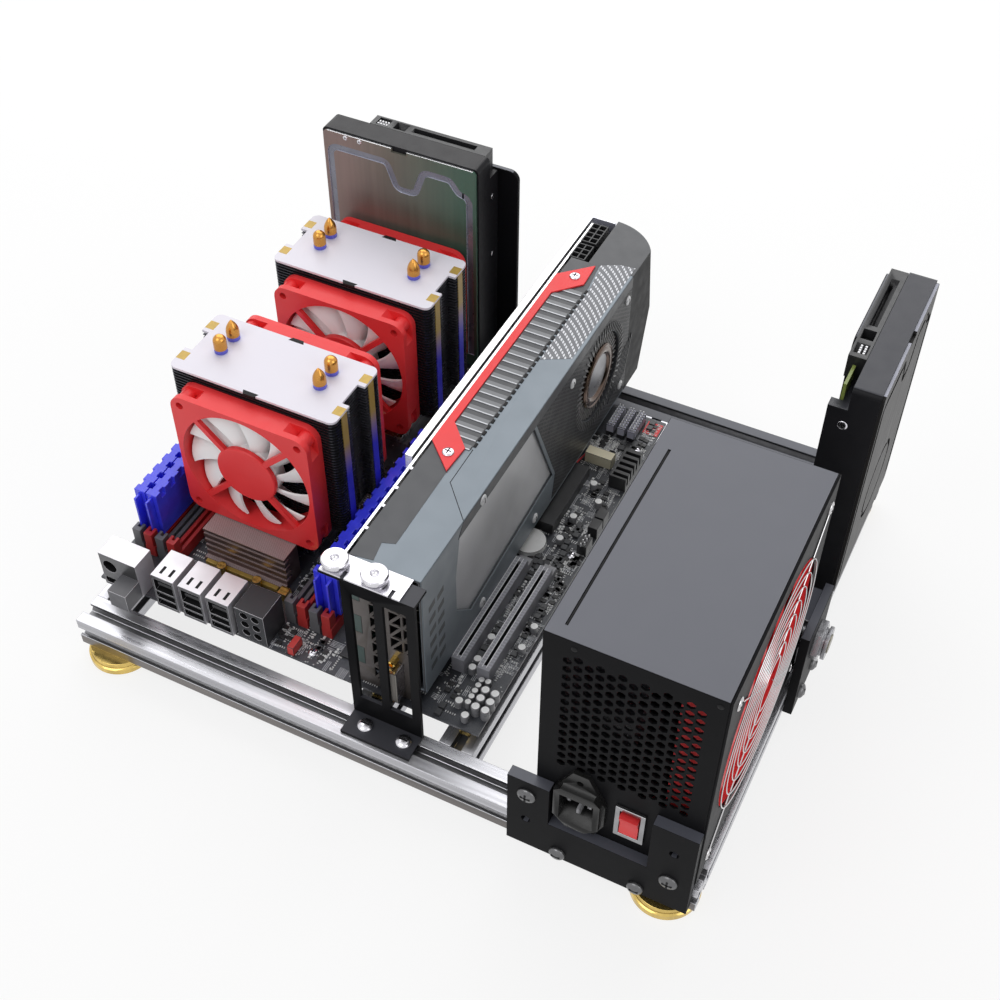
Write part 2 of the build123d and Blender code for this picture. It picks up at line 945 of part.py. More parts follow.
def rotor(bore_dia, hub_dia, depth, count, chord, angle, shaft_length):
    """Fan wheel about the Z axis: hub, blades and a shaft that reaches up into the frame's hub."""
    hub = Cylinder(hub_dia / 2, depth)
    outer = bore_dia / 2 - tip_clear
    one = blade(hub_dia / 2 - 1.0, outer, chord, angle, blade_thick) & Cylinder(outer, 2 * chord)
    wheel = hub
    for i in range(count):
        wheel += Rot(0, 0, 360 / count * i) * one
    return wheel + Pos(0, 0, depth / 2 + shaft_length / 2) * Cylinder(shaft_dia / 2, shaft_length)


fan_wheel = rotor(fan_bore_dia, fan_hub_dia - 1, rotor_depth, blade_count, blade_chord, blade_angle,
                  rotor_gap + fan_hub_plate - shaft_short)


def fan_rotor(y, outward):
    """Fan wheel set behind the hub plate of its frame."""
    inset = fan_hub_plate + rotor_gap + rotor_depth / 2
    middle = y + inset if outward < 0 else y + fan_depth - inset
    turn = Rot(90, 0, 0) if outward < 0 else Rot(-90, 0, 0)
    return Pos(cooler_x, middle, fan_z) * turn * fan_wheel


for name, y in cooler_fronts.items():
    save(f"cooler_{name}_core", cooler_core(y))
    save(f"cooler_{name}_fins", fin_stack(y))
    front_y = y - fan_depth
    back_y = y + fin_depth
    save(f"cooler_{name}_fan_frames", group([fan_frame(front_y, -1), fan_frame(back_y, 1)]))
    save(f"cooler_{name}_rotor_a", fan_rotor(front_y, -1))
    save(f"cooler_{name}_rotor_b", fan_rotor(back_y, 1))


# Graphics card, with its parts placed from the card's front lower left corner
gpu_height = gpu_top - gpu_bottom
shroud_x = gpu_x + gpu_board_thick + heatsink_base
shroud_depth = gpu_thick - gpu_board_thick - heatsink_base
face_x = gpu_x + gpu_thick
blower_spot = Pos(gpu_front + blower_y, gpu_bottom + blower_z)
video_heights = [gpu_bottom + video_low + i * video_pitch for i in range(video_count)]


def gpu_board():
    """Circuit board with the edge finger that sits in the expansion slot."""
    low = gpu_bottom + 1
    board = block(gpu_x, gpu_front + bracket_thick, low, gpu_board_thick, gpu_length - gpu_board_short,
                  gpu_top - low - gpu_board_margin)
    slot_floor_z = board_top + pcie_height - pcie_groove_depth
    finger_y = board_y + pcie_front + gpu_finger_inset
    finger = block(gpu_x, finger_y, slot_floor_z, gpu_board_thick, pcie_length - 2 * gpu_finger_inset,
                   low - slot_floor_z)
    return board + finger


def gpu_backplate():
    """Stiff plate behind the board, held off it by round bosses and folded over at the card's tail."""
    x = gpu_x - backplate_gap - backplate_thick
    y0 = gpu_front + backplate_front
    length = gpu_length - backplate_front
    low = gpu_bottom + backplate_low
    tall = gpu_top - gpu_board_margin - low
    plate = block(x, y0, low, backplate_thick, length, tall)
    plate += block(x, y0 + length - backplate_end, low, backplate_return, backplate_end, tall)
    for i in backplate_boss_rows:
        for j in backplate_boss_heights:
            plate += rod_x(x + backplate_thick, y0 + i * length, low + j * tall, backplate_boss_dia, backplate_gap)
    return plate


def window_face(grow):
    """Window outline in Y and Z: bent front edge, slanted lower and rear edges."""
    y0 = gpu_front + window_front
    z0 = gpu_bottom + window_low
    z1 = gpu_bottom + window_high
    face = outline([
        (y0 + window_brow, z1), (y0, gpu_bottom + window_cheek_high), (y0, gpu_bottom + window_cheek_low),
        (y0 + window_chin, z0), (gpu_front + window_back_low, z0 + window_rise), (gpu_front + window_back_high, z1),
    ])
    return offset(face, grow, kind=Kind.INTERSECTION) if grow else face


def gpu_shroud():
    """Cover open towards the board, with a window, a blower intake and a ribbed top."""
    length = cap_start
    shell = block(shroud_x, gpu_front + bracket_thick, gpu_bottom, shroud_depth, length - bracket_thick, gpu_height)
    shell -= block(shroud_x - 1, gpu_front, gpu_bottom + gpu_wall, shroud_depth - gpu_wall + 1, length + 1,
                   gpu_height - 2 * gpu_wall)
    shell -= wall_x(window_face(0), face_x - gpu_wall - 1, gpu_wall + 2)
    shell -= wall_x(blower_spot * Circle(blower_bore / 2), face_x - gpu_wall - 1, gpu_wall + 2)
    grooves = []
    for i in range(rib_count):
        y = gpu_front + rib_first + i * rib_pitch
        grooves.append(block(shroud_x + rib_inset, y, gpu_top - rib_deep, rib_long, rib_wide, rib_deep + 1))
    return shell - grooves


def cap_section(z, end, tail, inset):
    """Plan of the tail at one height: straight beside the cover, bowed round to its far corner."""
    x0 = shroud_x + cap_inset
    x1 = face_x - inset
    y0 = gpu_front + cap_start
    y1 = gpu_front + end - inset
    y2 = gpu_front + tail - inset
    middle = (x1 - cap_bow * (x1 - x0), y1 + cap_swell * (y2 - y1))
    edges = Line((x0, y0), (x1, y0)) + Line((x1, y0), (x1, y1))
    edges += ThreePointArc((x1, y1), middle, (x0, y2)) + Line((x0, y2), (x0, y0))
    return Pos(0, 0, z) * make_face(edges)


def gpu_end_cap():
    """Hollow bowed tail of the cover, open towards the cover and the board."""
    waist = gpu_bottom + cap_waist * gpu_height
    outer = loft([
        cap_section(gpu_bottom, cap_low_end, cap_low_tail, 0),
        cap_section(waist, cap_middle_end, gpu_length, 0),
        cap_section(gpu_top, cap_high_end, gpu_length, 0),
    ], ruled=True)
    inner = loft([
        cap_section(gpu_bottom + gpu_wall, cap_low_end, cap_low_tail, gpu_wall),
        cap_section(waist, cap_middle_end, gpu_length, gpu_wall),
        cap_section(gpu_top - gpu_wall, cap_high_end, gpu_length, gpu_wall),
    ], ruled=True)
    return outer - inner


def gpu_heatsink():
    """Base plate over the board with fins behind the window and a post for the blower."""
    base_x = gpu_x + gpu_board_thick
    low = gpu_bottom + gpu_wall + heatsink_edge
    base = block(base_x, gpu_front + heatsink_front, low, heatsink_base, heatsink_length,
                 gpu_height - 2 * gpu_wall - 2 * heatsink_edge)
    depth = shroud_depth - gpu_wall - window_thick - heatsink_clear
    fin_low = low + heatsink_fin_low
    fin_high = gpu_top - gpu_wall - heatsink_fin_high
    pitch = (fin_high - fin_low) / (heatsink_fins - 1)
    length = window_back_high - window_front
    for i in range(heatsink_fins):
        base += block(base_x + heatsink_base, gpu_front + window_front, fin_low + i * pitch, depth, length,
                      heatsink_fin)
    reach = blower_lift + blower_hub_tall - blower_hub_cap - shaft_short
    return base + rod_x(shroud_x, gpu_front + blower_y, gpu_bottom + blower_z, shaft_dia, reach)


def gpu_rotor():
    """Blower wheel: a closed hub that turns on its post and a ring of upright blades on a disc."""
    start = shroud_x + blower_lift
    wheel = wall_x(blower_spot * Circle(blower_dia / 2), start, blower_disc)
    wheel += wall_x(blower_spot * Circle(blower_hub_dia / 2), start, blower_hub_tall)
    vane = Pos(blower_dia / 2 - vane_inset, 0) * Rot(0, 0, vane_turn) * Rectangle(vane_long, vane_thick)
    rise = blower_disc / 2
    for i in range(blower_blades):
        turn = Rot(0, 0, 360 / blower_blades * i)
        wheel += wall_x(blower_spot * turn * vane, start + rise, blower_depth - rise)
    bore = Circle(shaft_dia / 2 + shaft_clear)
    return wheel - wall_x(blower_spot * bore, start - 1, blower_hub_tall - blower_hub_cap + 1)


def trim_strip():
    """Raised band on top of the card with a wide slanted end at each side."""
    x0 = shroud_x - 1.0
    x1 = x0 + trim_band
    wide = x0 + trim_wide
    y0 = gpu_front + trim_front
    y1 = gpu_front + trim_back
    face = outline([
        (x0, y0), (wide, y0 - trim_slant), (wide + 1, y0 + trim_rise), (x1, y0 + trim_slant), (x1, y1 - trim_slant),
        (wide + 1, y1 - trim_rise), (wide, y1 + trim_slant), (x0, y1),
    ])
    return wall_z(face, gpu_top, trim_thick)


def power_socket(y, columns):
    """Power socket on the board's top edge with open square cells."""
    x = gpu_x + gpu_board_thick
    cell = power_pitch - power_wall
    body = block(x, y, gpu_top - power_tall, 2 * power_pitch + power_wall, columns * power_pitch + power_wall,
                 power_tall)
    for i in range(2):
        for j in range(columns):
            body -= block(x + power_wall + i * power_pitch, y + power_wall + j * power_pitch, gpu_top - power_deep,
                          cell, cell, power_deep)
    return body


def gpu_ports():
    """Video sockets behind the card's bracket, a screw plug on it and power sockets at its far end."""
    x = gpu_x + gpu_board_thick
    video = [block(x, gpu_front, z, video_wide, video_deep, video_tall) for z in video_heights]
    plug = block(x + plug_inset, gpu_front - plug_out, gpu_bottom - plug_drop, plug_wide, plug_out, plug_tall)
    sockets = [power_socket(gpu_front + power_first, 3), power_socket(gpu_front + power_second, 4)]
    return group(video + [plug] + sockets)


def lattice(x, z, rows):
    """Column of crossed openings in X and Z: two triangles a cell, with a slanted bar between them."""
    half = lattice_bar / 2
    wide = lattice_wide - lattice_bar
    tall = lattice_tall - lattice_bar
    lean = lattice_bar * wide / tall
    openings = []
    for i in range(rows):
        spot = Pos(x + half, z + half + i * lattice_tall)
        openings.append(spot * outline([(0, lattice_bar), (wide - lean, tall), (0, tall)]))
        openings.append(spot * outline([(lean, 0), (wide, 0), (wide, tall - lattice_bar)]))
    return openings


def gpu_bracket():
    """Two-slot card bracket: a pierced plate with a flange folded forward over the stand."""
    low = board_top + bracket_lift
    x0 = gpu_x - bracket_over
    plate = block(x0, gpu_front, low, bracket_wide, bracket_thick, gpu_top - low)
    for z in video_heights:
        plate -= block(gpu_x + gpu_board_thick - video_clear, gpu_front - 1, z - video_clear,
                       video_wide + 2 * video_clear, bracket_thick + 2, video_tall + 2 * video_clear)
    openings = lattice(x0 + lattice_left, gpu_bottom - lattice_left_drop, lattice_left_rows)
    for i in range(2):
        x = x0 + lattice_right + i * lattice_wide
        openings += lattice(x, gpu_bottom + lattice_right_low, lattice_right_rows)
    plate -= [wall_y(face, gpu_front - 1, bracket_thick + 2) for face in openings]
    flange_x = gpu_x - flange_over
    flange_y = front + stand_plate_y
    flange = block(flange_x, flange_y, gpu_top - bracket_thick, flange_wide, gpu_front - flange_y + bracket_thick,
                   bracket_thick)
    for x in flange_notches:
        flange -= block(flange_x + x, flange_y - 1, gpu_top - 2 * bracket_thick, flange_notch_wide,
                        flange_notch_deep + 1, 3 * bracket_thick)
    return plate + flange


save("gpu_board", gpu_board())
save("gpu_ports", gpu_ports())
save("gpu_bracket", gpu_bracket())
save("gpu_backplate", gpu_backplate())
save("gpu_shroud", gpu_shroud())
save("gpu_end_cap", gpu_end_cap())
save("gpu_heatsink", gpu_heatsink())
save("gpu_window", wall_x(window_face(window_lap), face_x - gpu_wall - window_thick, window_thick))
save("gpu_rotor", gpu_rotor())
save("gpu_trim", trim_strip())


# Card stand on the front rail
def gpu_stand():
    """Bent sheet: foot on the rail, upright with two card windows, lip under the card's flange."""
    lip_z = gpu_top - bracket_thick - stand_thick
    y = front + stand_plate_y
    foot_plate = block(stand_x, y - stand_foot, rail_top, stand_width, stand_foot + stand_thick, stand_thick)
    upright = block(stand_x, y, rail_top, stand_width, stand_thick, lip_z + stand_thick - rail_top)
    lip = block(stand_x - stand_lip_over, y, lip_z, stand_width + stand_lip_over, stand_lip, stand_thick)
    opening = (stand_width - 3 * stand_bar) / 2
    base = board_top + stand_window_low - 4
    for i in range(2):
        x = stand_x + stand_bar + i * (opening + stand_bar)
        upright -= block(x, y - 1, base, opening, stand_thick + 2, stand_window_high - stand_window_low)
    for x in stand_screws:
        foot_plate -= rod_z(x, rail_slot_y, rail_top - 1, screw_hole_dia, stand_thick + 2)
    return foot_plate + upright + lip


save("gpu_stand", gpu_stand())


def thumb_screw(x):
    """Wide flat headed screw standing on the card's flange."""
    y = front + stand_plate_y + stand_lip / 2
    return rod_z(x, y, gpu_top, thumb_dia, thumb_height)


save("thumb_screws", group([thumb_screw(gpu_x + thumb_first + i * thumb_gap) for i in range(2)]))


# Power supply, placed from its front lower left corner
def psu_hole_field():
    """Staggered columns of six sided vent holes in X and Z, each standing on a corner."""
    hole = Rot(0, 0, 90) * RegularPolygon(psu_hole / 2, 6)
    faces = []
    for i in range(psu_field_columns):
        for j in range(psu_field_rows):
            x = psu_x + psu_field_left + i * psu_hole_column
            z = psu_z + psu_field_low + (j + 0.5 * (i % 2)) * psu_hole_row
            faces.append(Pos(x, z) * hole)
    return faces


def psu_case():
    """Folded tray: back panel with vents, left side, top, bottom and far end."""
    shell = block(psu_x, front, psu_z, psu_wide - psu_wall, psu_deep, psu_tall)
    shell -= block(psu_x + psu_wall, front + psu_wall, psu_z + psu_wall, psu_wide, psu_deep - 2 * psu_wall,
                   psu_tall - 2 * psu_wall)
    shell -= [wall_y(hole, front - 1, psu_wall + 2) for hole in psu_hole_field()]
    shell -= block(psu_x + psu_seam, front + psu_seam, psu_z + psu_tall - psu_wall / 2, psu_wall,
                   psu_deep - 4 * psu_seam, psu_wall)
    inlet = Pos(psu_x + inlet_x, psu_z + inlet_z) * Rectangle(inlet_wide - inlet_lap, inlet_tall - inlet_lap)
    switch = Pos(psu_x + rocker_x, psu_z + rocker_z) * Rectangle(bezel_wide - bezel_lap, bezel_tall - bezel_lap)
    shell -= [wall_y(face, front - 1, psu_wall + 2) for face in (inlet, switch)]
    return shell


psu_fan_x = psu_x + psu_wide
psu_fan_spot = Pos(front + psu_fan_y, psu_z + psu_fan_z)


def psu_cover():
    """Right side panel with the fan opening."""
    panel = block(psu_fan_x - psu_wall, front, psu_z, psu_wall, psu_deep, psu_tall)
    return panel - wall_x(psu_fan_spot * Circle(psu_fan_dia / 2), psu_fan_x - psu_wall - 1, psu_wall + 2)


def psu_fan_frame():
    """Fan frame inside the side panel, with a hub plate on spokes at its inner side."""
    x = psu_fan_x - psu_wall - psu_fan_depth
    ring = RectangleRounded(psu_fan_side, psu_fan_side, fan_corner) - Circle(psu_fan_dia / 2)
    frame = wall_x(psu_fan_spot * ring, x, psu_fan_depth)
    spider = Circle(fan_hub_dia / 2)
    for i in range(fan_spoke_count):
        turn = Rot(0, 0, spoke_turn + 360 / fan_spoke_count * i)
        spider += turn * Pos(psu_fan_dia / 4, 0) * Rectangle(psu_fan_dia / 2 + 2 * spoke_root, fan_spoke)
    spider -= Circle(shaft_dia / 2 + shaft_clear)
    return frame + wall_x(psu_fan_spot * spider, x, fan_hub_plate)


def psu_rotor():
    depth = psu_fan_depth - fan_hub_plate - 2 * rotor_gap
    wheel = rotor(psu_fan_dia, fan_hub_dia, depth, psu_blades, psu_blade_chord, psu_blade_angle,
                  rotor_gap + fan_hub_plate - shaft_short)
    x = psu_fan_x - psu_wall - rotor_gap - depth / 2
    return Pos(x, front + psu_fan_y, psu_z + psu_fan_z) * Rot(0, -90, 0) * wheel


def psu_grille():
    """Wire guard: rings on two crossed bars, resting on the side panel."""
    reach = psu_fan_side - grille_inset
    face = Rectangle(reach, grille_wire) + Rectangle(grille_wire, reach)
    step = (psu_fan_dia - grille_hub_dia) / 2 / (grille_rings - 1)
    for i in range(grille_rings):
        radius = grille_hub_dia / 2 + i * step
        face += Circle(radius + grille_wire / 2) - Circle(radius - grille_wire / 2)
    return wall_x(psu_fan_spot * Rot(0, 0, spoke_turn) * face, psu_fan_x, grille_wire)


def psu_inlet():
    """Mains inlet: a screwed flange, a chamfered housing with a deep socket and three blades."""
    wide = inlet_wide / 2
    tall = inlet_tall / 2
    side = inlet_flange_wide / 2
    spot = Pos(psu_x + inlet_x, psu_z + inlet_z)
    body = outline([
        (-wide, -tall + inlet_cut), (-wide + inlet_cut, -tall), (wide - inlet_cut, -tall), (wide, -tall + inlet_cut),
        (wide, tall - inlet_round), (wide - inlet_round, tall), (-wide + inlet_round, tall),
        (-wide, tall - inlet_round),
    ])
    flange = outline([
        (-side, -inlet_flange_side), (-inlet_flange_base, -inlet_flange_low), (inlet_flange_base, -inlet_flange_low),
        (side, -inlet_flange_side), (side, inlet_flange_side), (inlet_flange_tip, inlet_flange_top),
        (-inlet_flange_tip, inlet_flange_top), (-side, inlet_flange_side),
    ])
    flange -= Pos(0, inlet_screw) * Circle(inlet_screw_dia / 2)
    housing = wall_y(spot * body, front - inlet_out, inlet_out)
    housing += wall_y(spot * flange, front - inlet_flange, inlet_flange)
    housing += wall_y(spot * Rectangle(inlet_wide - inlet_lap, inlet_tall - inlet_lap), front, inlet_back)
    housing -= wall_y(spot * Rectangle(inlet_mouth_wide, inlet_mouth_tall), front - inlet_out,
                      inlet_out + inlet_back - inlet_floor)
    for x, z in inlet_pins:
        pin = spot * Pos(x, z) * Rectangle(inlet_pin_wide, inlet_pin_tall)
        housing += wall_y(pin, front - inlet_pin_out, inlet_pin_out + inlet_back - inlet_floor / 2)
    return housing


switch_spot = Pos(psu_x + rocker_x, psu_z + rocker_z)
rocker_wide = bezel_wide - 2 * bezel_rim
rocker_tall = bezel_tall - 2 * bezel_rim


def psu_switch_bezel():
    """Frame round the rocker, with a cross pin that the rocker turns on."""
    frame = wall_y(switch_spot * Rectangle(bezel_wide, bezel_tall), front - bezel_out, bezel_out)
    frame += wall_y(switch_spot * Rectangle(bezel_wide - bezel_lap, bezel_tall - bezel_lap), front, bezel_back)
    frame -= wall_y(switch_spot * Rectangle(rocker_wide, rocker_tall), front - bezel_out,
                    bezel_out + bezel_back - bezel_floor)
    width = bezel_wide - bezel_lap
    pin = rod_x(psu_x + rocker_x - width / 2, front + rocker_pin_dia, psu_z + rocker_z, rocker_pin_dia, width)
    return frame + pin


def psu_rocker():
    """Rocker cap with a shallow angle in its face and a bore for the pin."""
    half = rocker_tall / 2 - rocker_end
    root = front + rocker_root
    face = front - bezel_out
    side = outline([
        (root, -half + rocker_taper), (root, half - rocker_taper), (face, half),
        (front - rocker_out, half - rocker_crest), (face, 0), (face - rocker_bevel, -half),
    ])
    bore = Pos(front + rocker_pin_dia, 0) * Circle(rocker_pin_dia / 2 + shaft_clear)
    width = rocker_wide - 2 * rocker_clear
    return wall_x(Pos(0, psu_z + rocker_z) * (side - bore), psu_x + rocker_x - width / 2, width)


def psu_board():
    """Circuit board on the left wall with a transformer, a filter coil and two heatsinks."""
    x = psu_x + psu_wall
    y = front + supply_front
    z = psu_z + supply_low
    board = block(x, y, z, supply_thick, supply_deep, supply_tall)
    seat = x + supply_thick
    for back, up, dx, dy, dz in supply_blocks:
        board += block(seat, y + back, z + up, dx, dy, dz)
    back, up = supply_coil
    return board + rod_x(seat, y + back, z + up, supply_coil_dia, supply_coil_long)


save("psu_case", psu_case())
save("psu_cover", psu_cover())
save("psu_fan_frame", psu_fan_frame())
save("psu_rotor", psu_rotor())
save("psu_grille", psu_grille())
save("psu_inlet", psu_inlet())
save("psu_switch_bezel", psu_switch_bezel())
save("psu_rocker", psu_rocker())
save("psu_board", psu_board())


# Power supply bracket on the front rail
def psu_bracket():
    """Thick plate with a tall arm at each side, screwed to the rail and the power supply."""
    x0 = psu_x + bracket_left
    x1 = psu_x + bracket_right
    z0 = psu_z + bracket_low
    web = psu_z + bracket_web
    face = outline([
        (x0, z0), (x1, z0), (x1, psu_z + bracket_right_top), (x1 - bracket_right_arm, psu_z + bracket_right_top),
        (x1 - bracket_right_arm, web), (x0 + bracket_left_arm, web), (x0 + bracket_left_arm, psu_z + bracket_left_top),
        (x0, psu_z + bracket_left_top),
    ])
    face -= Pos(x0 + bracket_left_hole[0], psu_z + bracket_left_hole[1]) * Circle(bracket_hole_dia / 2)
    face -= Pos(x1 - bracket_right_hole[0], psu_z + bracket_right_hole[1]) * Circle(bracket_hole_dia / 2)
    for x in bracket_screws:
        face -= Pos(x, rail_slot_z) * Circle(screw_hole_dia / 2)
    return wall_y(face, front - bracket_plate, bracket_plate)


save("psu_bracket", psu_bracket())


# Hard drives
def drive_body():
    """Casting with a full height deck, a lower rear part and a recess for the circuit board."""
    face = Pos(drive_wide / 2, drive_tall / 2) * RectangleRounded(drive_wide, drive_tall, drive_corner)
    body = wall_y(face, drive_cover, drive_thick - drive_cover)
    step = drive_tall - drive_step
    body -= block(-1, drive_deck, step, drive_wide + 2, drive_thick, drive_step + 1)
    return body - block(drive_margin, drive_thick - drive_recess, drive_margin, drive_wide - 2 * drive_margin,
                        drive_recess + 1, drive_tall)


def drive_cover_plate():
    """Stamped cover with a hub ring, a sunk channel round its edge and a notch at the top."""
    wide = drive_wide - 2 * drive_cover_inset
    tall = drive_tall - 2 * drive_cover_inset
    middle = drive_wide / 2
    face = Pos(middle, drive_tall / 2) * RectangleRounded(wide, tall, drive_corner)
    notch = block(cover_notch_first, -1, drive_tall - drive_cover_inset - cover_notch_deep, cover_notch_wide,
                  drive_cover + 2, cover_notch_deep + 1)
    far = drive_wide - channel_side
    a, b, c, d, e, f = channel_dips
    path = FilletPolyline(
        (channel_side, 0, channel_low), (channel_side, 0, channel_top), (a, 0, channel_top), (b, 0, channel_dip),
        (c, 0, channel_dip), (d, 0, channel_top), (e, 0, channel_top), (f, 0, channel_shoulder),
        (far, 0, channel_shoulder), (far, 0, channel_low), radius=channel_bend)
    channel = sweep(Plane((channel_side, 0, channel_low)) * Rectangle(channel_wide, 2 * channel_deep), path)
    ring = Circle(hub_ring_dia / 2) - Circle(hub_ring_dia / 2 - hub_ring_wide)
    ring = wall_y(Pos(middle, hub_ring_z) * ring, -1, 1 + channel_deep)
    return wall_y(face, 0, drive_cover) - [notch, ring, channel]


def drive_circuit():
    """Circuit board on the floor of the casting's recess, taller beside the sockets."""
    inset = drive_margin + drive_board_clear
    floor = drive_thick - drive_recess
    step = drive_tall - drive_step
    board = block(inset, floor, inset, drive_wide - 2 * inset, drive_board, step - drive_board_clear - inset)
    tab = drive_plug_first - drive_board_clear - inset
    return board + block(inset, floor, inset, tab, drive_board, step + drive_board_rise - inset)


def drive_plug():
    """Socket strip on the casting's step: two square wells and a long mouth with a tongue."""
    low = drive_tall - drive_step
    y = drive_deck + drive_plug_clear
    strip = block(drive_plug_first, y, low, drive_plug_long, drive_plug_deep, drive_step)
    floor = drive_tall - drive_plug_sink
    well = drive_plug_deep - 2 * drive_plug_wall
    for i in range(2):
        x = drive_plug_first + drive_plug_wells[i]
        strip -= block(x, y + drive_plug_wall, floor, drive_plug_cell, well, drive_plug_sink + 1)
    x = drive_plug_first + drive_plug_mouth
    mouth = y + (drive_plug_deep - drive_plug_mouth_wide) / 2
    strip -= block(x, mouth, floor, drive_plug_mouth_long, drive_plug_mouth_wide, drive_plug_sink + 1)
    return strip + block(x + drive_plug_wall, mouth, floor, drive_plug_mouth_long - 2 * drive_plug_wall,
                         drive_plug_tongue, drive_plug_sink - drive_plug_wall)


left_drive = Pos(left_drive_x, left_drive_y, drive_lift)
right_drive = Pos(right_drive_x + drive_thick, right_drive_y, drive_lift) * Rot(0, 0, 90)
save("hdd_left_body", left_drive * drive_body())
save("hdd_right_body", right_drive * drive_body())
save("hdd_covers", group([left_drive * drive_cover_plate(), right_drive * drive_cover_plate()]))
save("hdd_boards", group([place * shape for place in (left_drive, right_drive)
                          for shape in (drive_circuit(), drive_plug())]))


def bracket_upright(first, width):
    """Outline of an upright bracket plate with rounded upper corners."""
    tall = drive_lift - rail_top + drive_bracket_tall
    face = Pos(first + width / 2, rail_top + tall / 2) * Rectangle(width, tall)
    return fillet(face.vertices().group_by(Axis.Y)[-1], drive_bracket_corner)


def left_drive_bracket():
    """Upright plate behind the drive with a foot on the rear rail."""
    y = left_drive_y + drive_thick
    x = left_drive_x + drive_wide / 2
    width = drive_wide / 2 + drive_bracket_lap
    plate = wall_y(bracket_upright(x, width), y, drive_bracket)
    return plate + block(x, y, rail_top, width, -front - y, drive_bracket)


def right_drive_bracket():
    """Upright plate beside the drive with a foot on the right rail."""
    x = right_drive_x - drive_bracket
    y = right_drive_y - drive_bracket_near
    width = drive_wide + drive_bracket_near + drive_bracket_lap
    reach = drive_wide / 2 + drive_bracket_lap
    plate = wall_x(bracket_upright(y + width - reach, reach), x, drive_bracket)
    return plate + block(x, y, rail_top, -left - x, width, drive_bracket)


save("hdd_brackets", group([left_drive_bracket(), right_drive_bracket()]))


# Power button on its plate at the right rail
plate_x = -left
button_height = foot_height + button_z
button_face = plate_x + plate_thick + nut_thick + button_out


def switch_plate():
    """Upright plate with a raised tab, a hole for the button and two holes for the rail screws."""
    low = foot_height
    face = Pos(plate_y, low + plate_tall / 2) * Rectangle(plate_wide, plate_tall)
    face -= Pos(plate_y, button_height) * Circle(button_hole_dia / 2)
    for side in (-0.5, 0.5):
        face -= Pos(plate_y + side * plate_screw_gap, rail_slot_z) * Circle(screw_hole_dia / 2)
    return wall_x(face, plate_x, plate_thick)


def power_button_body():
    """Metal switch barrel through the plate with a flange at its outer end and a cap well."""
    barrel = rod_x(plate_x - button_in, plate_y, button_height, button_dia, button_face - plate_x + button_in)
    barrel += rod_x(button_face - button_head, plate_y, button_height, button_head_dia, button_head)
    well = button_cap_dia + 2 * button_cap_clear
    depth = button_cap - button_cap_out + button_travel + button_cap_clear
    return barrel - rod_x(button_face - depth, plate_y, button_height, well, depth + 1)


def power_button_cap():
    """Flat cap that travels into the barrel."""
    return rod_x(button_face + button_cap_out - button_cap, plate_y, button_height, button_cap_dia, button_cap)


def power_button_nut():
    """Six sided nut that clamps the barrel to the plate."""
    face = RegularPolygon(nut_across / 2, 6, major_radius=False) - Circle(button_hole_dia / 2)
    return wall_x(Pos(plate_y, button_height) * face, plate_x + plate_thick, nut_thick)


save("switch_plate", switch_plate())
save("power_button_body", power_button_body())
save("power_button_cap", power_button_cap())
save("power_button_nut", power_button_nut())


# Screws that hold the fittings to the rails
def rail_screw(plate):
    """Headed screw along +Z from the head's seat down, long enough to reach into the slot."""
    head = Pos(0, 0, screw_head / 2) * Cone(screw_head_dia / 2, screw_head_dia / 3, screw_head)
    length = plate + screw_reach
    return head + Pos(0, 0, -length / 2) * Cylinder(screw_shank_dia / 2, length)


screws = [Pos(x, rail_slot_y, rail_top + stand_thick) * rail_screw(stand_thick) for x in stand_screws]
for x in bracket_screws:
    screws.append(Pos(x, front - bracket_plate, rail_slot_z) * Rot(90, 0, 0) * rail_screw(bracket_plate))
for side in (-0.5, 0.5):
    spot = Pos(plate_x + plate_thick, plate_y + side * plate_screw_gap, rail_slot_z)
    screws.append(spot * Rot(0, 90, 0) * rail_screw(plate_thick))
save("rail_screws", group(screws))
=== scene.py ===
import json
import math
import random

import bmesh
import bpy
from mathutils import Matrix, Vector
from mathutils.geometry import tessellate_polygon

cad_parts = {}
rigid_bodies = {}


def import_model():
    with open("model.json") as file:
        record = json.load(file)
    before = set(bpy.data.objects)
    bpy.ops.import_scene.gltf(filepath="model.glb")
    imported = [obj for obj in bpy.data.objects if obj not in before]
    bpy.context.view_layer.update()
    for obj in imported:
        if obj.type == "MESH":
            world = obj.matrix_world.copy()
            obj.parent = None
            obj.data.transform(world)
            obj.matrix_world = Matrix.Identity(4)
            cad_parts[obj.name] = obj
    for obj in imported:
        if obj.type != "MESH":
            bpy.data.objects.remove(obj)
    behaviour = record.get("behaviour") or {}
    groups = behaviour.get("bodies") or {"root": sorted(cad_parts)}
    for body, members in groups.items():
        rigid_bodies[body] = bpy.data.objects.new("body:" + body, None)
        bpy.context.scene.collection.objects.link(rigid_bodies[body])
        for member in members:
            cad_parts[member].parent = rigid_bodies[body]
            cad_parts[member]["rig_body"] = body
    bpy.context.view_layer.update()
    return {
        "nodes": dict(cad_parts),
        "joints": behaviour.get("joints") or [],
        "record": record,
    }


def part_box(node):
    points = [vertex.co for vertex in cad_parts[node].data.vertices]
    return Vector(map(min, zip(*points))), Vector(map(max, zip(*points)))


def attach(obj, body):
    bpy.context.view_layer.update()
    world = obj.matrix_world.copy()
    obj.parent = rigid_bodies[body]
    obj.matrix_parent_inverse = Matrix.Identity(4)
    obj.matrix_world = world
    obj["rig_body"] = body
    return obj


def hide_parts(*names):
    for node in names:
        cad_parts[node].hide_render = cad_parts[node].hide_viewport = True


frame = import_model()

bl_info = {
    "name": "Open air test bench",
    "version": (1, 0, 0),
    "blender": (4, 5, 0),
    "location": "View3D > Sidebar > Test bench",
    "description": "Dresses the packed test bench with its finishes and fine pieces",
    "category": "Object",
}

MM = 0.001


# Sizes and colours that a user would change

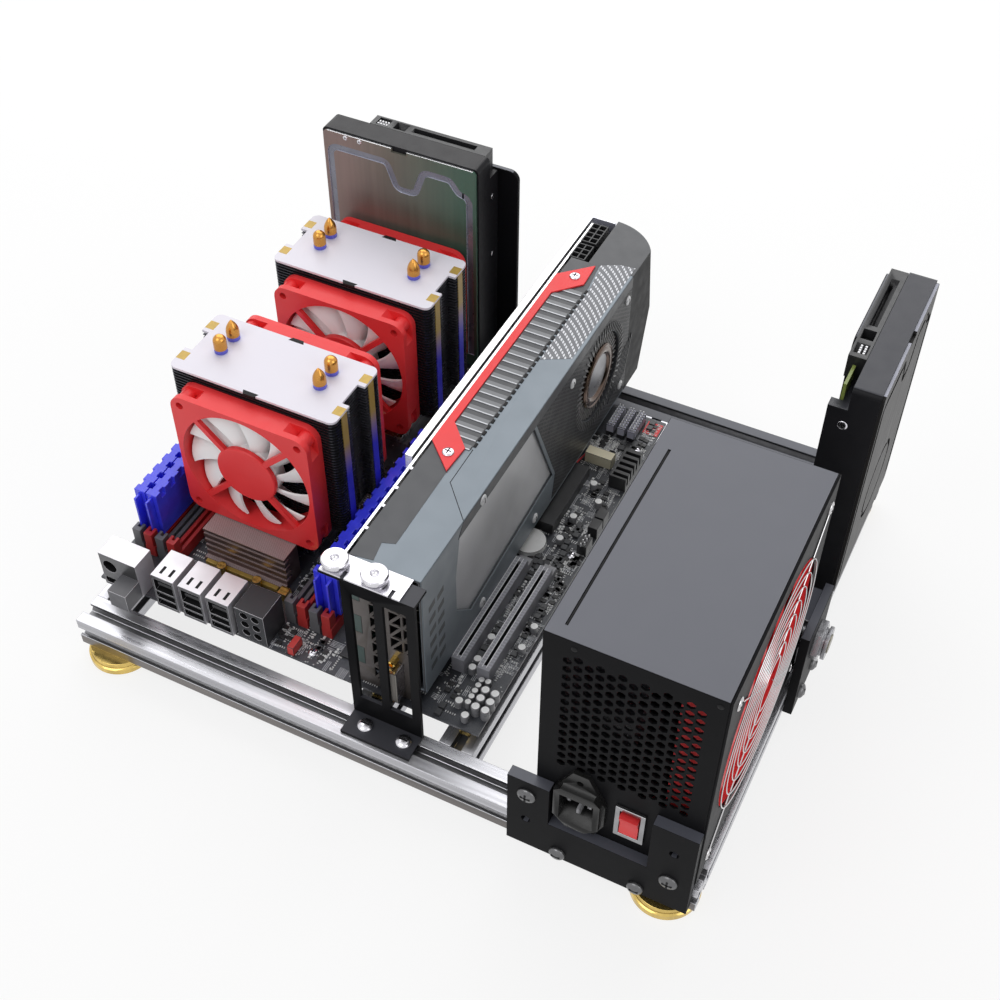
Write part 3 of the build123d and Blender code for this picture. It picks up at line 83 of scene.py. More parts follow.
def colour(name, description, value):
    return bpy.props.FloatVectorProperty(
        name=name, description=description, subtype="COLOR", size=3, min=0.0, max=1.0, default=value)


def length(name, description, value):
    return bpy.props.FloatProperty(name=name, description=description, default=value, unit="LENGTH", min=0.0)


def number(name, description, value):
    return bpy.props.IntProperty(name=name, description=description, default=value, min=2)


class BenchSizes(bpy.types.PropertyGroup):
    """Sizes of the fine pieces."""
    edge: length("Edge rounding", "Rounding of the edges of the supply and the card stand", 0.0004)
    fin_count: number("Fins", "Fins in each cooler", 40)
    fin_thick: length("Fin sheet", "Thickness of one cooler fin", 0.0005)
    blade_count: number("Cooler blades", "Blades of each cooler fan", 11)
    supply_blades: number("Supply blades", "Blades of the supply fan", 9)
    vane_count: number("Blower vanes", "Vane tips of the card's blower", 40)
    ring_count: number("Guard rings", "Rings of the supply fan's wire guard", 8)
    chip_seed: number("Chip seed", "Seed of the small board parts", 7)


class BenchColours(bpy.types.PropertyGroup):
    """Base colours of the finishes."""
    rail: colour("Rails", "Bright extruded rail", (0.50, 0.50, 0.53))
    brass: colour("Brass", "Turned feet and spacers", (0.68, 0.49, 0.15))
    black: colour("Black sheet", "Coated brackets and supply case", (0.007, 0.007, 0.008))
    red: colour("Red plastic", "Fan frames, trim and rocker", (0.82, 0.042, 0.046))
    white: colour("White plastic", "Fan blades", (0.93, 0.93, 0.94))
    blue: colour("Blue spreader", "Memory spreaders", (0.050, 0.060, 0.98))
    shroud: colour("Card cover", "Painted cover of the card", (0.155, 0.185, 0.215))
    board: colour("Circuit board", "Solder mask", (0.028, 0.030, 0.036))


def sizes():
    return bpy.context.scene.bench_sizes


def colours():
    return bpy.context.scene.bench_colours


# Finishes, with noise and row scales in repeats per metre

GLOSS_GRAIN = 2.3
LEAST_ROUGH = 0.02
SKIN_GRAIN = 1400.0
BUMP_DEPTH = 0.0003


class Finish:
    """Node material that reads Object coordinates."""

    def __init__(self, name):
        self.material = bpy.data.materials.new(name)
        self.material.use_nodes = True
        tree = self.material.node_tree
        self.nodes = tree.nodes
        self.links = tree.links
        self.shader = self.nodes["Principled BSDF"]
        self.place = self.nodes.new("ShaderNodeTexCoord").outputs["Object"]

    def link(self, source, node, socket):
        self.links.new(source, node.inputs[socket])

    def feed(self, socket, value):
        """Value or another node's output put into a socket."""
        if isinstance(value, bpy.types.NodeSocket):
            self.links.new(value, socket)
        elif socket.type == "RGBA":
            socket.default_value = (*value, 1.0)
        else:
            socket.default_value = value

    def moved(self, stretch, turn=(0, 0, 0)):
        """Object coordinates stretched and turned."""
        node = self.nodes.new("ShaderNodeMapping")
        node.inputs["Scale"].default_value = stretch
        node.inputs["Rotation"].default_value = turn
        self.link(self.place, node, "Vector")
        return node.outputs["Vector"]

    def noise(self, scale, stretch=(1, 1, 1), detail=3.0):
        node = self.nodes.new("ShaderNodeTexNoise")
        node.inputs["Scale"].default_value = scale
        node.inputs["Detail"].default_value = detail
        self.link(self.moved(stretch), node, "Vector")
        return node.outputs["Fac"]

    def span(self, source, low, high, start=0.3, stop=0.7):
        """Source mapped from one range to another."""
        node = self.nodes.new("ShaderNodeMapRange")
        for key, value in (("From Min", start), ("From Max", stop), ("To Min", low), ("To Max", high)):
            node.inputs[key].default_value = value
        self.link(source, node, "Value")
        return node.outputs["Result"]

    def uneven(self, scale, low, high):
        """Noise between two values."""
        return self.span(self.noise(scale), low, high)

    def tint(self, source, first, second):
        """Mix of two colours."""
        node = self.nodes.new("ShaderNodeMix")
        node.data_type = "RGBA"
        share, low, high = (next(s for s in node.inputs if s.identifier == key)
                            for key in ("Factor_Float", "A_Color", "B_Color"))
        self.feed(low, first)
        self.feed(high, second)
        self.links.new(source, share)
        return next(s for s in node.outputs if s.identifier == "Result_Color")

    def math(self, kind, first, second=0.0):
        node = self.nodes.new("ShaderNodeMath")
        node.operation = kind
        self.feed(node.inputs[0], first)
        self.feed(node.inputs[1], second)
        return node.outputs["Value"]

    def wave(self, source, scale):
        """Zigzag between nothing and one."""
        return self.math("PINGPONG", self.math("MULTIPLY", source, scale), 1.0)

    def axis(self, name, source=None):
        node = self.nodes.new("ShaderNodeSeparateXYZ")
        self.link(source or self.place, node, "Vector")
        return node.outputs[name]

    def bump(self, source, strength, distance=BUMP_DEPTH):
        node = self.nodes.new("ShaderNodeBump")
        node.inputs["Strength"].default_value = strength
        node.inputs["Distance"].default_value = distance
        self.link(source, node, "Height")
        self.link(node.outputs["Normal"], self.shader, "Normal")

    def set(self, **values):
        """Values or node outputs put into the shader."""
        names = {"metal": "Metallic", "rough": "Roughness", "ior": "IOR", "coat": "Coat Weight",
                 "coat_rough": "Coat Roughness", "clear": "Transmission Weight", "alpha": "Alpha",
                 "spec": "Specular IOR Level", "colour": "Base Color"}
        for key, value in values.items():
            self.feed(self.shader.inputs[names[key]], value)


made = {}


def once(build):
    """Finish that is built when its name is first asked for."""

    def finish(name, *values, **more):
        if name not in made:
            f = Finish(name)
            build(f, *values, **more)
            made[name] = f.material
        return made[name]
    return finish


def tone(base, factor):
    return tuple(min(1.0, c * factor) for c in base)


@once
def surface(f, base, rough, metal=0.0, vary=0.12, grain=60.0, stretch=(1, 1, 1), bump=0.06,
            bump_grain=SKIN_GRAIN, spread=0.06, **more):
    """Drifting colour, uneven gloss and a fine skin."""
    drift = f.noise(grain, stretch)
    f.set(colour=f.tint(drift, tone(base, 1 - vary), tone(base, 1 + vary)))
    gloss = f.noise(grain * GLOSS_GRAIN, stretch)
    f.set(rough=f.span(gloss, max(LEAST_ROUGH, rough - spread), rough + spread), metal=metal, **more)
    f.bump(f.noise(bump_grain, stretch), bump)


def rail_finish(along):
    """Extruded aluminium with drawing lines along the rail, and long streaks of painted reflection in its
    colour.
    """
    stretch = (0.02, 1, 1) if along == "x" else (1, 0.02, 1)
    return surface(f"rail_drawn_{along}", colours().rail, rough=0.30, metal=0.85, vary=0.45, grain=190.0,
                   stretch=stretch, bump=0.10, bump_grain=2200.0, spread=0.10)


def steel():
    return surface("plated_steel", (0.60, 0.59, 0.63), rough=0.24, metal=1.0, vary=0.06, grain=90.0,
                   bump=0.03)


def screw_bright():
    return surface("screw_bright", (0.66, 0.65, 0.69), rough=0.22, metal=1.0, vary=0.04, bump=0.02)


def screw_grey():
    return surface("screw_grey", (0.15, 0.15, 0.155), rough=0.3, metal=0.85, vary=0.15, grain=120.0)


def black_sheet():
    return surface("black_coat", colours().black, rough=0.42, vary=0.08, grain=70.0, bump_grain=2400.0,
                   spread=0.02, spec=0.04)


def painted_light_black():
    """The same coat on level faces, lighter by painted light from the sky."""
    return surface("black_coat_level", (0.086, 0.090, 0.111), rough=0.40, vary=0.03, grain=40.0, bump=0.05,
                   bump_grain=2400.0, spread=0.02, spec=0.45)


def painted_dim_light_black():
    """The coat on small level faces between other pieces, with painted light: lighter than the coat, and
    dimmer than the level coat for the shade between pieces.
    """
    return surface("black_coat_dim", (0.046, 0.047, 0.056), rough=0.40, vary=0.05, spec=0.25)


# Turned brass: the strong colour streaks down its sides are painted reflections over the brass's own tone
def brass():
    return surface("turned_brass", colours().brass, rough=0.20, metal=0.9, vary=0.45, grain=130.0,
                   stretch=(1, 1, 0.04), bump=0.04, bump_grain=500.0)


def copper():
    return surface("pipe_copper", (0.60, 0.29, 0.065), rough=0.24, metal=0.9, vary=0.10, grain=120.0,
                   bump=0.02)


def gold():
    return surface("gold_plate", (0.83, 0.57, 0.16), rough=0.20, metal=1.0, vary=0.08, grain=400.0,
                   bump=0.02)


def yellow_metal():
    return surface("yellow_metal", (0.42, 0.28, 0.06), rough=0.42, metal=0.35, vary=0.25, grain=300.0,
                   bump=0.05)


def red_plastic():
    return surface("red_plastic", colours().red, rough=0.36, vary=0.06, grain=50.0, bump=0.05, spec=0.30,
                   coat=0.05, coat_rough=0.25)


def white_plastic():
    return surface("white_plastic", colours().white, rough=0.40, vary=0.04, grain=50.0, bump=0.03)


def grey_plastic():
    return surface("grey_plastic", (0.11, 0.11, 0.12), rough=0.45, vary=0.10, grain=120.0, bump=0.08)


def pale_plastic():
    return surface("pale_plastic", (0.36, 0.36, 0.38), rough=0.42, vary=0.08, grain=120.0)


def dark_plastic():
    return surface("dark_plastic", (0.018, 0.018, 0.020), rough=0.42, vary=0.15, grain=120.0, bump=0.10)


def mid_plastic():
    return surface("mid_plastic", (0.055, 0.057, 0.062), rough=0.40, grain=90.0, bump=0.10)


# Painted shade that darkens slots, recesses, seams and gaps
def shadow_finish():
    return surface("dark_lining", (0.008, 0.008, 0.009), rough=0.6, vary=0.2, grain=120.0, bump=0.05,
                   spec=0.2)


def spreader_finish():
    """Blue lacquer over metal."""
    return surface("blue_lacquer", colours().blue, rough=0.20, vary=0.30, grain=160.0, bump=0.03, spec=0.35,
                   coat=0.3, coat_rough=0.08)


def chip_marks():
    return surface("chip_marks", (0.74, 0.74, 0.74), rough=0.4, vary=0.35, grain=500.0)


def board_print():
    return surface("board_print", (0.56, 0.57, 0.60), rough=0.5, vary=0.25, grain=300.0)


def can_white():
    return surface("can_white", (0.95, 0.95, 0.95), rough=0.30, vary=0.04, grain=120.0, bump=0.02)


def can_sleeve():
    return surface("can_sleeve", (0.23, 0.23, 0.245), rough=0.30, vary=0.30, grain=160.0, bump=0.03)


def marks_white():
    return surface("pin_white", (0.80, 0.80, 0.82), rough=0.3, metal=0.1, vary=0.06, grain=300.0)


def card_dark():
    return surface("card_dark", (0.037, 0.039, 0.045), rough=0.42, bump=0.08)


def blower_grey():
    return surface("blower_grey", (0.125, 0.125, 0.128), rough=0.32, metal=0.1, vary=0.15, grain=90.0,
                   bump=0.05)


# Grey of the blower's vane tips, lightened with painted light so they stand out from the rotor
def vane_edge():
    return surface("vane_edge", (0.270, 0.265, 0.265), rough=0.30, metal=0.2, vary=0.15, grain=90.0,
                   bump=0.04)


@once
def fading(f, axis, start, stop, low, high, rough, metal):
    """One colour that runs into another along an axis."""
    share = f.span(f.axis(axis), 0.0, 1.0, start * MM, stop * MM)
    drift = f.noise(160.0)
    first, second = (f.tint(drift, tone(base, 0.85), base) for base in (low, high))
    f.set(colour=f.tint(share, first, second), rough=f.span(drift, rough - 0.05, rough + 0.05), metal=metal)
    f.bump(f.noise(1200.0), 0.03)


PIN_ROWS = 851.0
PIN_WIDTH = 0.45
PIN_FOOT = 0.0412


@once
def pin_rows(f):
    """Black header with pale stripes where its pins stand."""
    tall = f.math("GREATER_THAN", f.axis("Z"), PIN_FOOT)
    pin = f.math("MULTIPLY", f.math("GREATER_THAN", f.wave(f.axis("Y"), PIN_ROWS), PIN_WIDTH), tall)
    f.set(colour=f.tint(pin, (0.020, 0.020, 0.024), (0.50, 0.50, 0.62)), rough=f.uneven(200.0, 0.3, 0.4))
    f.bump(pin, 0.5)


TRACK_ROWS = 420.0
TRACK_WIDTH = 0.035
TRACK_TONES = {"Color1": (0.0, 0.0, 0.0, 1.0), "Color2": (0.3, 0.3, 0.3, 1.0),
               "Mortar": (1.0, 1.0, 1.0, 1.0)}
PAD_ROWS = 330.0
PAD_SIZE = 0.16
PAD_AREAS = 38.0
PAD_SHARE = 0.53


@once
def board_finish(f, base):
    """Solder mask with printed tracks and pale pads."""
    tracks = f.nodes.new("ShaderNodeTexBrick")
    tracks.inputs["Scale"].default_value = TRACK_ROWS
    tracks.inputs["Mortar Size"].default_value = TRACK_WIDTH
    for key, value in TRACK_TONES.items():
        tracks.inputs[key].default_value = value
    f.link(f.place, tracks, "Vector")
    pads = f.nodes.new("ShaderNodeTexVoronoi")
    pads.inputs["Scale"].default_value = PAD_ROWS
    f.link(f.place, pads, "Vector")
    dots = f.math("LESS_THAN", pads.outputs["Distance"], PAD_SIZE)
    area = f.math("GREATER_THAN", f.noise(PAD_AREAS), PAD_SHARE)
    lift = 2.6 if max(base) < 0.1 else 1.5
    mask = f.tint(tracks.outputs["Color"], tone(base, 0.9), tone(base, lift))
    pale = f.tint(f.math("MULTIPLY", dots, area), mask, (0.42, 0.43, 0.44))
    f.set(colour=pale, rough=f.uneven(80.0, 0.28, 0.42), spec=0.5)
    f.bump(tracks.outputs["Fac"], 0.15, 0.0001)


def solder_mask():
    return board_finish("solder_mask", colours().board)


@once
def window_finish(f):
    """Smoked clear plastic."""
    haze = f.noise(24.0)
    f.set(colour=f.tint(haze, (0.66, 0.66, 0.69), (0.90, 0.90, 0.94)), rough=f.span(haze, 0.16, 0.26),
          clear=0.05, ior=1.46, alpha=0.95)


def dotted(f, dot, first, second, bright):
    """Two tones of ground with raised bright dots."""
    f.set(colour=f.tint(dot, f.tint(f.noise(70.0), first, second), bright), rough=f.uneven(90.0, 0.30, 0.42))
    f.bump(dot, 0.4)


@once
def dotted_finish(f, first, second, bright, rows):
    """Panel with fine rows of dots."""
    a, b = (f.math("SUBTRACT", f.wave(f.axis(name), rows), 0.5) for name in "YX")
    dotted(f, f.math("GREATER_THAN", f.math("MULTIPLY", a, b), 0.085), first, second, bright)


ROW_SLANT = 0.62
ROW_BEND = 16.0
ROW_PITCH = 400.0
DOT_PITCH = 1200.0


@once
def bent_rows(f, first, second, bright):
    """Panel with slanted, bent rows of dots."""
    x, y = f.axis("X"), f.axis("Y")
    bend = f.math("MULTIPLY", f.math("MULTIPLY", x, x), ROW_BEND)
    slant = f.math("ADD", f.math("MULTIPLY", x, ROW_SLANT), bend)
    across = f.wave(f.math("ADD", y, slant), ROW_PITCH)
    along = f.wave(x, DOT_PITCH)
    dot = f.math("MULTIPLY", f.math("GREATER_THAN", across, 0.60), f.math("GREATER_THAN", along, 0.36))
    dotted(f, dot, first, second, bright)


MESH_TURNS = (32, -58)
MESH_PITCH = 820.0
MESH_GAP = 0.62


@once
def mesh_finish(f):
    """Dark moulding with crossed fine ribs."""
    lines = []
    for turn in MESH_TURNS:
        place = f.moved((1, 1, 1), (math.radians(turn), 0, 0))
        lines.append(f.math("GREATER_THAN", f.wave(f.axis("Y", place), MESH_PITCH), MESH_GAP))
    rib = f.math("MAXIMUM", *lines)
    drift = f.tint(f.noise(70.0), (0.008, 0.008, 0.009), (0.018, 0.018, 0.020))
    f.set(colour=f.tint(rib, drift, (0.060, 0.061, 0.065)), rough=f.uneven(90.0, 0.34, 0.46), spec=0.15)
    f.bump(rib, 0.6)


COVER_WARM_X = -0.150
COVER_GREEN_X = -0.075


@once
def cover_finish(f):
    """Brushed drive cover that turns from warm grey to green across it."""
    brushed = f.noise(340.0, (1, 1, 0.03))
    share = f.span(f.axis("X"), 0.0, 1.0, COVER_WARM_X, COVER_GREEN_X)
    first = f.tint(share, (0.190, 0.135, 0.122), (0.062, 0.125, 0.092))
    second = f.tint(share, (0.270, 0.195, 0.178), (0.100, 0.180, 0.135))
    f.set(colour=f.tint(brushed, first, second), rough=f.span(brushed, 0.34, 0.46), metal=0.35, spec=0.3)
    f.bump(brushed, 0.06)


# Forms, in millimetres

# Two axes across and the one along each axis
AXES = {"x": (1, 2, 0), "y": (0, 2, 1), "z": (0, 1, 2)}
# Radius that counts as a point, welding distance and nearness to a plane
APEX = 1e-6
WELD = 0.002
SKIN = 0.1
# Angles in degrees: faces that join, edges that are rounded, edges that stay sharp
FLAT_ANGLE = 1.0
SHARP_ANGLE = 32.0
SMOOTH_ANGLE = 38.0
EDGE_PROFILE = 0.6
# Fan blade: chord at the root as a share, turn at the root, twist and sweep out to the tip
ROOT_CHORD = 0.62
ROOT_TURN = 14.0
BLADE_TWIST = 24.0
BLADE_SWEEP = 0.30


def lay(axis, a, b, c):
    """Point from two coordinates across an axis and one along it."""
    point = [0.0, 0.0, 0.0]
    for index, value in zip(AXES[axis], (a, b, c)):
        point[index] = value
    return Vector(point)


def ring(cx, cy, radius, count=48):
    """Circle as a loop of points."""
    turns = (i * math.tau / count for i in range(count))
    return [(cx + radius * math.cos(t), cy + radius * math.sin(t)) for t in turns]


def rounded(cx, cy, width, height, radius, steps=6):
    """Rounded rectangle as a loop of points."""
    points = []
    for sx, sy, turn in ((1, 1, 0), (-1, 1, 90), (-1, -1, 180), (1, -1, 270)):
        for i in range(steps + 1):
            angle = math.radians(turn + 90 * i / steps)
            points.append((cx + sx * (width / 2 - radius) + radius * math.cos(angle),
                           cy + sy * (height / 2 - radius) + radius * math.sin(angle)))
    return points


class Form:
    """Mesh under construction."""

    def __init__(self):
        self.bm = bmesh.new()

    def face(self, verts, mat):
        try:
            made_face = self.bm.faces.new(verts)
        except ValueError:
            return
        made_face.material_index = mat

    def box(self, lo, hi, mat=0):
        corners = [(lo[0], lo[1]), (hi[0], lo[1]), (hi[0], hi[1]), (lo[0], hi[1])]
        return self.prism([corners], "z", lo[2], hi[2], mat)

    def prism(self, loops, axis, lo, hi, mat=0):
        """Solid between two parallel copies of an outline with holes."""
        ends = []
        for c in (lo, hi):
            ends.append([[self.bm.verts.new(lay(axis, a, b, c)) for a, b in loop] for loop in loops])
        triangles = tessellate_polygon([[Vector((a, b, 0)) for a, b in loop] for loop in loops])
        for side in ends:
            flat = [v for loop in side for v in loop]
            for tri in triangles:
                self.face([flat[i] for i in tri], mat)
        for low, high in zip(*ends):
            count = len(low)
            for i in range(count):
                self.face([low[i], low[(i + 1) % count], high[(i + 1) % count], high[i]], mat)
        return self

    def lathe(self, profile, centre, axis, count=48, mat=0):
        """Turned solid: profile points are radius and place along the axis."""
        a0, b0, c0 = (centre[i] for i in AXES[axis])
        rings = []
        for radius, along in profile:
            loop = [(a0, b0)] if radius < APEX else ring(a0, b0, radius, count)
            rings.append([self.bm.verts.new(lay(axis, a, b, c0 + along)) for a, b in loop])
        for first, second in zip(rings, rings[1:]):
            for i in range(count):
                j = (i + 1) % count
                corners = [first[i % len(first)], first[j % len(first)], second[j % len(second)],
                           second[i % len(second)]]
                unique = list(dict.fromkeys(corners))
                if len(unique) > 2:
                    self.face(unique, mat)
        return self

    def tube(self, path, radius, sides=16, mat=0, closed=False):
        """Round bar along a path."""
        points = [Vector(p) for p in path]
        count = len(points)
        loops = []
        normal = None
        for i, point in enumerate(points):
            before = points[i - 1] if closed or i else points[0]
            after = points[(i + 1) % count] if closed or i + 1 < count else points[-1]
            along = (after - before).normalized()
            if normal is None:
                normal = along.orthogonal().normalized()
            normal = (normal - along * normal.dot(along)).normalized()
            side = along.cross(normal)
            loops.append([self.bm.verts.new(point + radius * (math.cos(t) * normal + math.sin(t) * side))
                          for t in (math.tau * k / sides for k in range(sides))])
        pairs = list(zip(loops, loops[1:]))
        if closed:
            pairs.append((loops[-1], loops[0]))
        for first, second in pairs:
            for k in range(sides):
                self.face([first[k], first[(k + 1) % sides], second[(k + 1) % sides], second[k]], mat)
        if not closed:
            self.face(loops[0][::-1], mat)
            self.face(loops[-1], mat)
        return self

    def blade(self, inner, outer, chord, angle, thick, camber, axis, steps=6, slices=6):
        """Twisted, cambered fan blade from the hub out along the first cross axis."""
        hand = -1 if axis == "y" else 1  # the frame across the y axis is mirrored
        skins = []
        for side in (-0.5, 0.5):
            rows = []
            for i in range(slices + 1):
                t = i / slices
                radius = inner + (outer - inner) * t
                width = chord * (ROOT_CHORD + (1 - ROOT_CHORD) * t)
                turn = math.radians(angle + ROOT_TURN - BLADE_TWIST * t)
                line = []
                for j in range(steps + 1):
                    s = j / steps - 0.5
                    lift = camber * (1 - 4 * s * s) + side * thick
                    across = s * width * math.cos(turn) - lift * math.sin(turn)
                    along = s * width * math.sin(turn) + lift * math.cos(turn)
                    swing = across / radius + BLADE_SWEEP * t
                    line.append(self.bm.verts.new(
                        lay(axis, radius * math.cos(swing), radius * math.sin(swing), hand * along)))
                rows.append(line)
            skins.append(rows)
        low, high = skins
        for rows in skins:
            for i in range(slices):
                for j in range(steps):
                    self.face([rows[i][j], rows[i + 1][j], rows[i + 1][j + 1], rows[i][j + 1]], 0)
        for i in range(slices):
            for j in (0, steps):
                self.face([low[i][j], low[i + 1][j], high[i + 1][j], high[i][j]], 0)
        for j in range(steps):
            for i in (0, slices):
                self.face([low[i][j], low[i][j + 1], high[i][j + 1], high[i][j]], 0)
        return self

    def soften(self, width, segments=2, least=0.0):
        """Flat faces joined and sharp edges of at least a given length rounded."""
        bm = self.bm
        bmesh.ops.recalc_face_normals(bm, faces=bm.faces)
        bmesh.ops.dissolve_limit(bm, angle_limit=math.radians(FLAT_ANGLE), verts=bm.verts, edges=bm.edges,
                                 delimit={"MATERIAL"})
        bend = math.radians(SHARP_ANGLE)
        sharp = [e for e in bm.edges if len(e.link_faces) == 2 and e.calc_face_angle(0) > bend
                 and e.calc_length() > least]
        if width > 0 and sharp:
            bmesh.ops.bevel(bm, geom=sharp, offset=width, offset_type="OFFSET", segments=segments,
                            profile=EDGE_PROFILE, affect="EDGES", clamp_overlap=True)
        return self

    def mesh(self, name, materials):
        """Finished mesh in metres."""
        bmesh.ops.recalc_face_normals(self.bm, faces=self.bm.faces)
        bmesh.ops.scale(self.bm, vec=(MM, MM, MM), verts=self.bm.verts)
        mesh = bpy.data.meshes.new(name)
        self.bm.to_mesh(mesh)
        self.bm.free()
        for material in materials:
            mesh.materials.append(material)
        return smoothed(mesh)


def put(name, data):
    """Object for some data, linked into the scene."""
    obj = bpy.data.objects.new(name, data)
    bpy.context.scene.collection.objects.link(obj)
    return obj


def plain(obj):
    """Mesh of an object with its modifiers applied."""
    bpy.context.view_layer.update()
    return bpy.data.meshes.new_from_object(obj.evaluated_get(bpy.context.evaluated_depsgraph_get()))


def smoothed(mesh):
    """Smooth shading that keeps wide faces flat."""
    mesh.polygons.foreach_set("use_smooth", [True] * len(mesh.polygons))
    mesh.set_sharp_from_angle(angle=math.radians(SMOOTH_ANGLE))
    holder = put(mesh.name + "_shade", mesh)
    weigh = holder.modifiers.new("weigh", "WEIGHTED_NORMAL")
    weigh.keep_sharp = True
    shaded = plain(holder)
    bpy.data.objects.remove(holder)
    name = mesh.name
    bpy.data.meshes.remove(mesh)
    shaded.name = name
    return shaded


def piece(name, mesh, slot, body="bench", stands_for=()):
    """Mesh put into the scene on its body, in place of CAD nodes where named."""
    obj = put(name, mesh)
    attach(obj, body)
    if stands_for:
        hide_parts(*stands_for)
    return obj


def body_of(node):
    return frame["nodes"][node]["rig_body"]


def slot_of(node):
    return next(s["material_slot"] for s in frame["record"]["subparts"] if s["node"] == node)


def level(c, normal):
    """Face picker: level faces apart from the others."""
    return 1 if normal.z > 0.9 else 0


def dress(node, materials, edge=None, pick=None, least=0.0):
    """Welded copy of a CAD node with rounded edges and one or more finishes."""
    form = Form()
    form.bm.from_mesh(frame["nodes"][node].data)
    bmesh.ops.scale(form.bm, vec=(1 / MM, 1 / MM, 1 / MM), verts=form.bm.verts)
    bmesh.ops.remove_doubles(form.bm, verts=form.bm.verts, dist=WELD)
    form.bm.normal_update()
    for face in form.bm.faces:
        face.material_index = pick(face.calc_center_median(), face.normal) if pick else 0
    form.soften(sizes().edge / MM if edge is None else edge, least=least)
    mesh = form.mesh(node + "_dressed", materials if isinstance(materials, list) else [materials])
    return piece(node + "_dressed", mesh, slot_of(node), body_of(node), [node])


def node_box(node):
    """Low and high corner of a CAD node in millimetres."""
    lo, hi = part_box(node)
    return lo / MM, hi / MM


# Geometry Nodes trees for what repeats

def new_tree(name, inputs):
    tree = bpy.data.node_groups.new(name, "GeometryNodeTree")
    for label, kind in inputs:
        tree.interface.new_socket(label, in_out="INPUT", socket_type=kind)
    tree.interface.new_socket("Geometry", in_out="OUTPUT", socket_type="NodeSocketGeometry")
    return tree, tree.nodes.new("NodeGroupInput"), tree.nodes.new("NodeGroupOutput")


def close_tree(tree, source, points, rotation, end):
    """Form on each point, made real and given its finish."""
    info = tree.nodes.new("GeometryNodeObjectInfo")
    copies = tree.nodes.new("GeometryNodeInstanceOnPoints")
    real = tree.nodes.new("GeometryNodeRealizeInstances")
    paint = tree.nodes.new("GeometryNodeSetMaterial")
    tree.links.new(source.outputs["Form"], info.inputs["Object"])
    tree.links.new(points, copies.inputs["Points"])
    tree.links.new(info.outputs["Geometry"], copies.inputs["Instance"])
    if rotation:
        tree.links.new(rotation, copies.inputs["Rotation"])
    tree.links.new(copies.outputs["Instances"], real.inputs["Geometry"])
    tree.links.new(real.outputs["Geometry"], paint.inputs["Geometry"])
    tree.links.new(source.outputs["Finish"], paint.inputs["Material"])
    tree.links.new(paint.outputs["Geometry"], end.inputs["Geometry"])
    return tree


def row_tree():
    """Copies along a straight line."""
    tree, source, end = new_tree("row_of_pieces", [
        ("Form", "NodeSocketObject"), ("Finish", "NodeSocketMaterial"), ("Count", "NodeSocketInt"),
        ("Start", "NodeSocketVector"), ("Step", "NodeSocketVector")])
    line = tree.nodes.new("GeometryNodeMeshLine")
    tree.links.new(source.outputs["Count"], line.inputs["Count"])
    tree.links.new(source.outputs["Start"], line.inputs["Start Location"])
    tree.links.new(source.outputs["Step"], line.inputs["Offset"])
    return close_tree(tree, source, line.outputs["Mesh"], None, end)


def wheel_tree():
    """Copies turned about an axis."""
    tree, source, end = new_tree("wheel_of_pieces", [
        ("Form", "NodeSocketObject"), ("Finish", "NodeSocketMaterial"), ("Count", "NodeSocketInt"),
        ("Centre", "NodeSocketVector"), ("Axis", "NodeSocketVector")])
    line = tree.nodes.new("GeometryNodeMeshLine")
    tree.links.new(source.outputs["Count"], line.inputs["Count"])
    tree.links.new(source.outputs["Centre"], line.inputs["Start Location"])
    line.inputs["Offset"].default_value = (0, 0, 0)
    index = tree.nodes.new("GeometryNodeInputIndex")
    share = tree.nodes.new("ShaderNodeMath")
    share.operation = "DIVIDE"
    tree.links.new(index.outputs["Index"], share.inputs[0])
    tree.links.new(source.outputs["Count"], share.inputs[1])
    angle = tree.nodes.new("ShaderNodeMath")
    angle.operation = "MULTIPLY"
    angle.inputs[1].default_value = math.tau
    tree.links.new(share.outputs["Value"], angle.inputs[0])
    turn = tree.nodes.new("FunctionNodeAxisAngleToRotation")
    tree.links.new(source.outputs["Axis"], turn.inputs["Axis"])
    tree.links.new(angle.outputs["Value"], turn.inputs["Angle"])
    return close_tree(tree, source, line.outputs["Mesh"], turn.outputs["Rotation"], end)


def spot_tree():
    """Copies at given points."""
    tree, source, end = new_tree("pieces_at_spots", [
        ("Spots", "NodeSocketGeometry"), ("Form", "NodeSocketObject"), ("Finish", "NodeSocketMaterial"),
        ("Turn", "NodeSocketVector")])
    turn = tree.nodes.new("FunctionNodeEulerToRotation")
    tree.links.new(source.outputs["Turn"], turn.inputs["Euler"])
    return close_tree(tree, source, source.outputs["Spots"], turn.outputs["Rotation"], end)


trees = {}


def grown(kind, name, form_mesh, finish, spots=None, **values):
    """Plain mesh of a repeated form."""
    if kind not in trees:
        trees[kind] = {"row": row_tree, "wheel": wheel_tree, "spots": spot_tree}[kind]()
    tree = trees[kind]
    holder = put(name + "_form", form_mesh)
    base = bpy.data.meshes.new(name + "_base")
    if spots:
        base.from_pydata([Vector(p) * MM for p in spots], [], [])
    carrier = put(name + "_carrier", base)
    modifier = carrier.modifiers.new("repeat", "NODES")
    modifier.node_group = tree
    values.update(Form=holder, Finish=finish)
    for item in tree.interface.items_tree:
        if item.item_type == "SOCKET" and item.in_out == "INPUT" and item.name in values:
            modifier[item.identifier] = values[item.name]
    mesh = plain(carrier)
    mesh.name = name
    for obj in (carrier, holder):
        bpy.data.objects.remove(obj)
    if not len(mesh.polygons):
        raise RuntimeError(f"{name} came out empty")
    return smoothed(mesh)


def metres(*values):
    return tuple(v * MM for v in values)


UP = (0.0, 0.0, 0.0)
FRONT = (math.pi / 2, 0.0, 0.0)
RIGHT = (0.0, math.pi / 2, 0.0)


def turned(profile, sides):
    """Turned solid that stands on the origin."""
    return Form().lathe(profile, (0, 0, 0), "z", sides)


def spread(name, form, finish, slot, spots, turn=UP, stands_for=()):
    """Copies of one form at given points."""
    mesh = form.mesh(name + "_form", [finish])
    return piece(name, grown("spots", name, mesh, finish, spots, Turn=turn), slot, stands_for=stands_for)


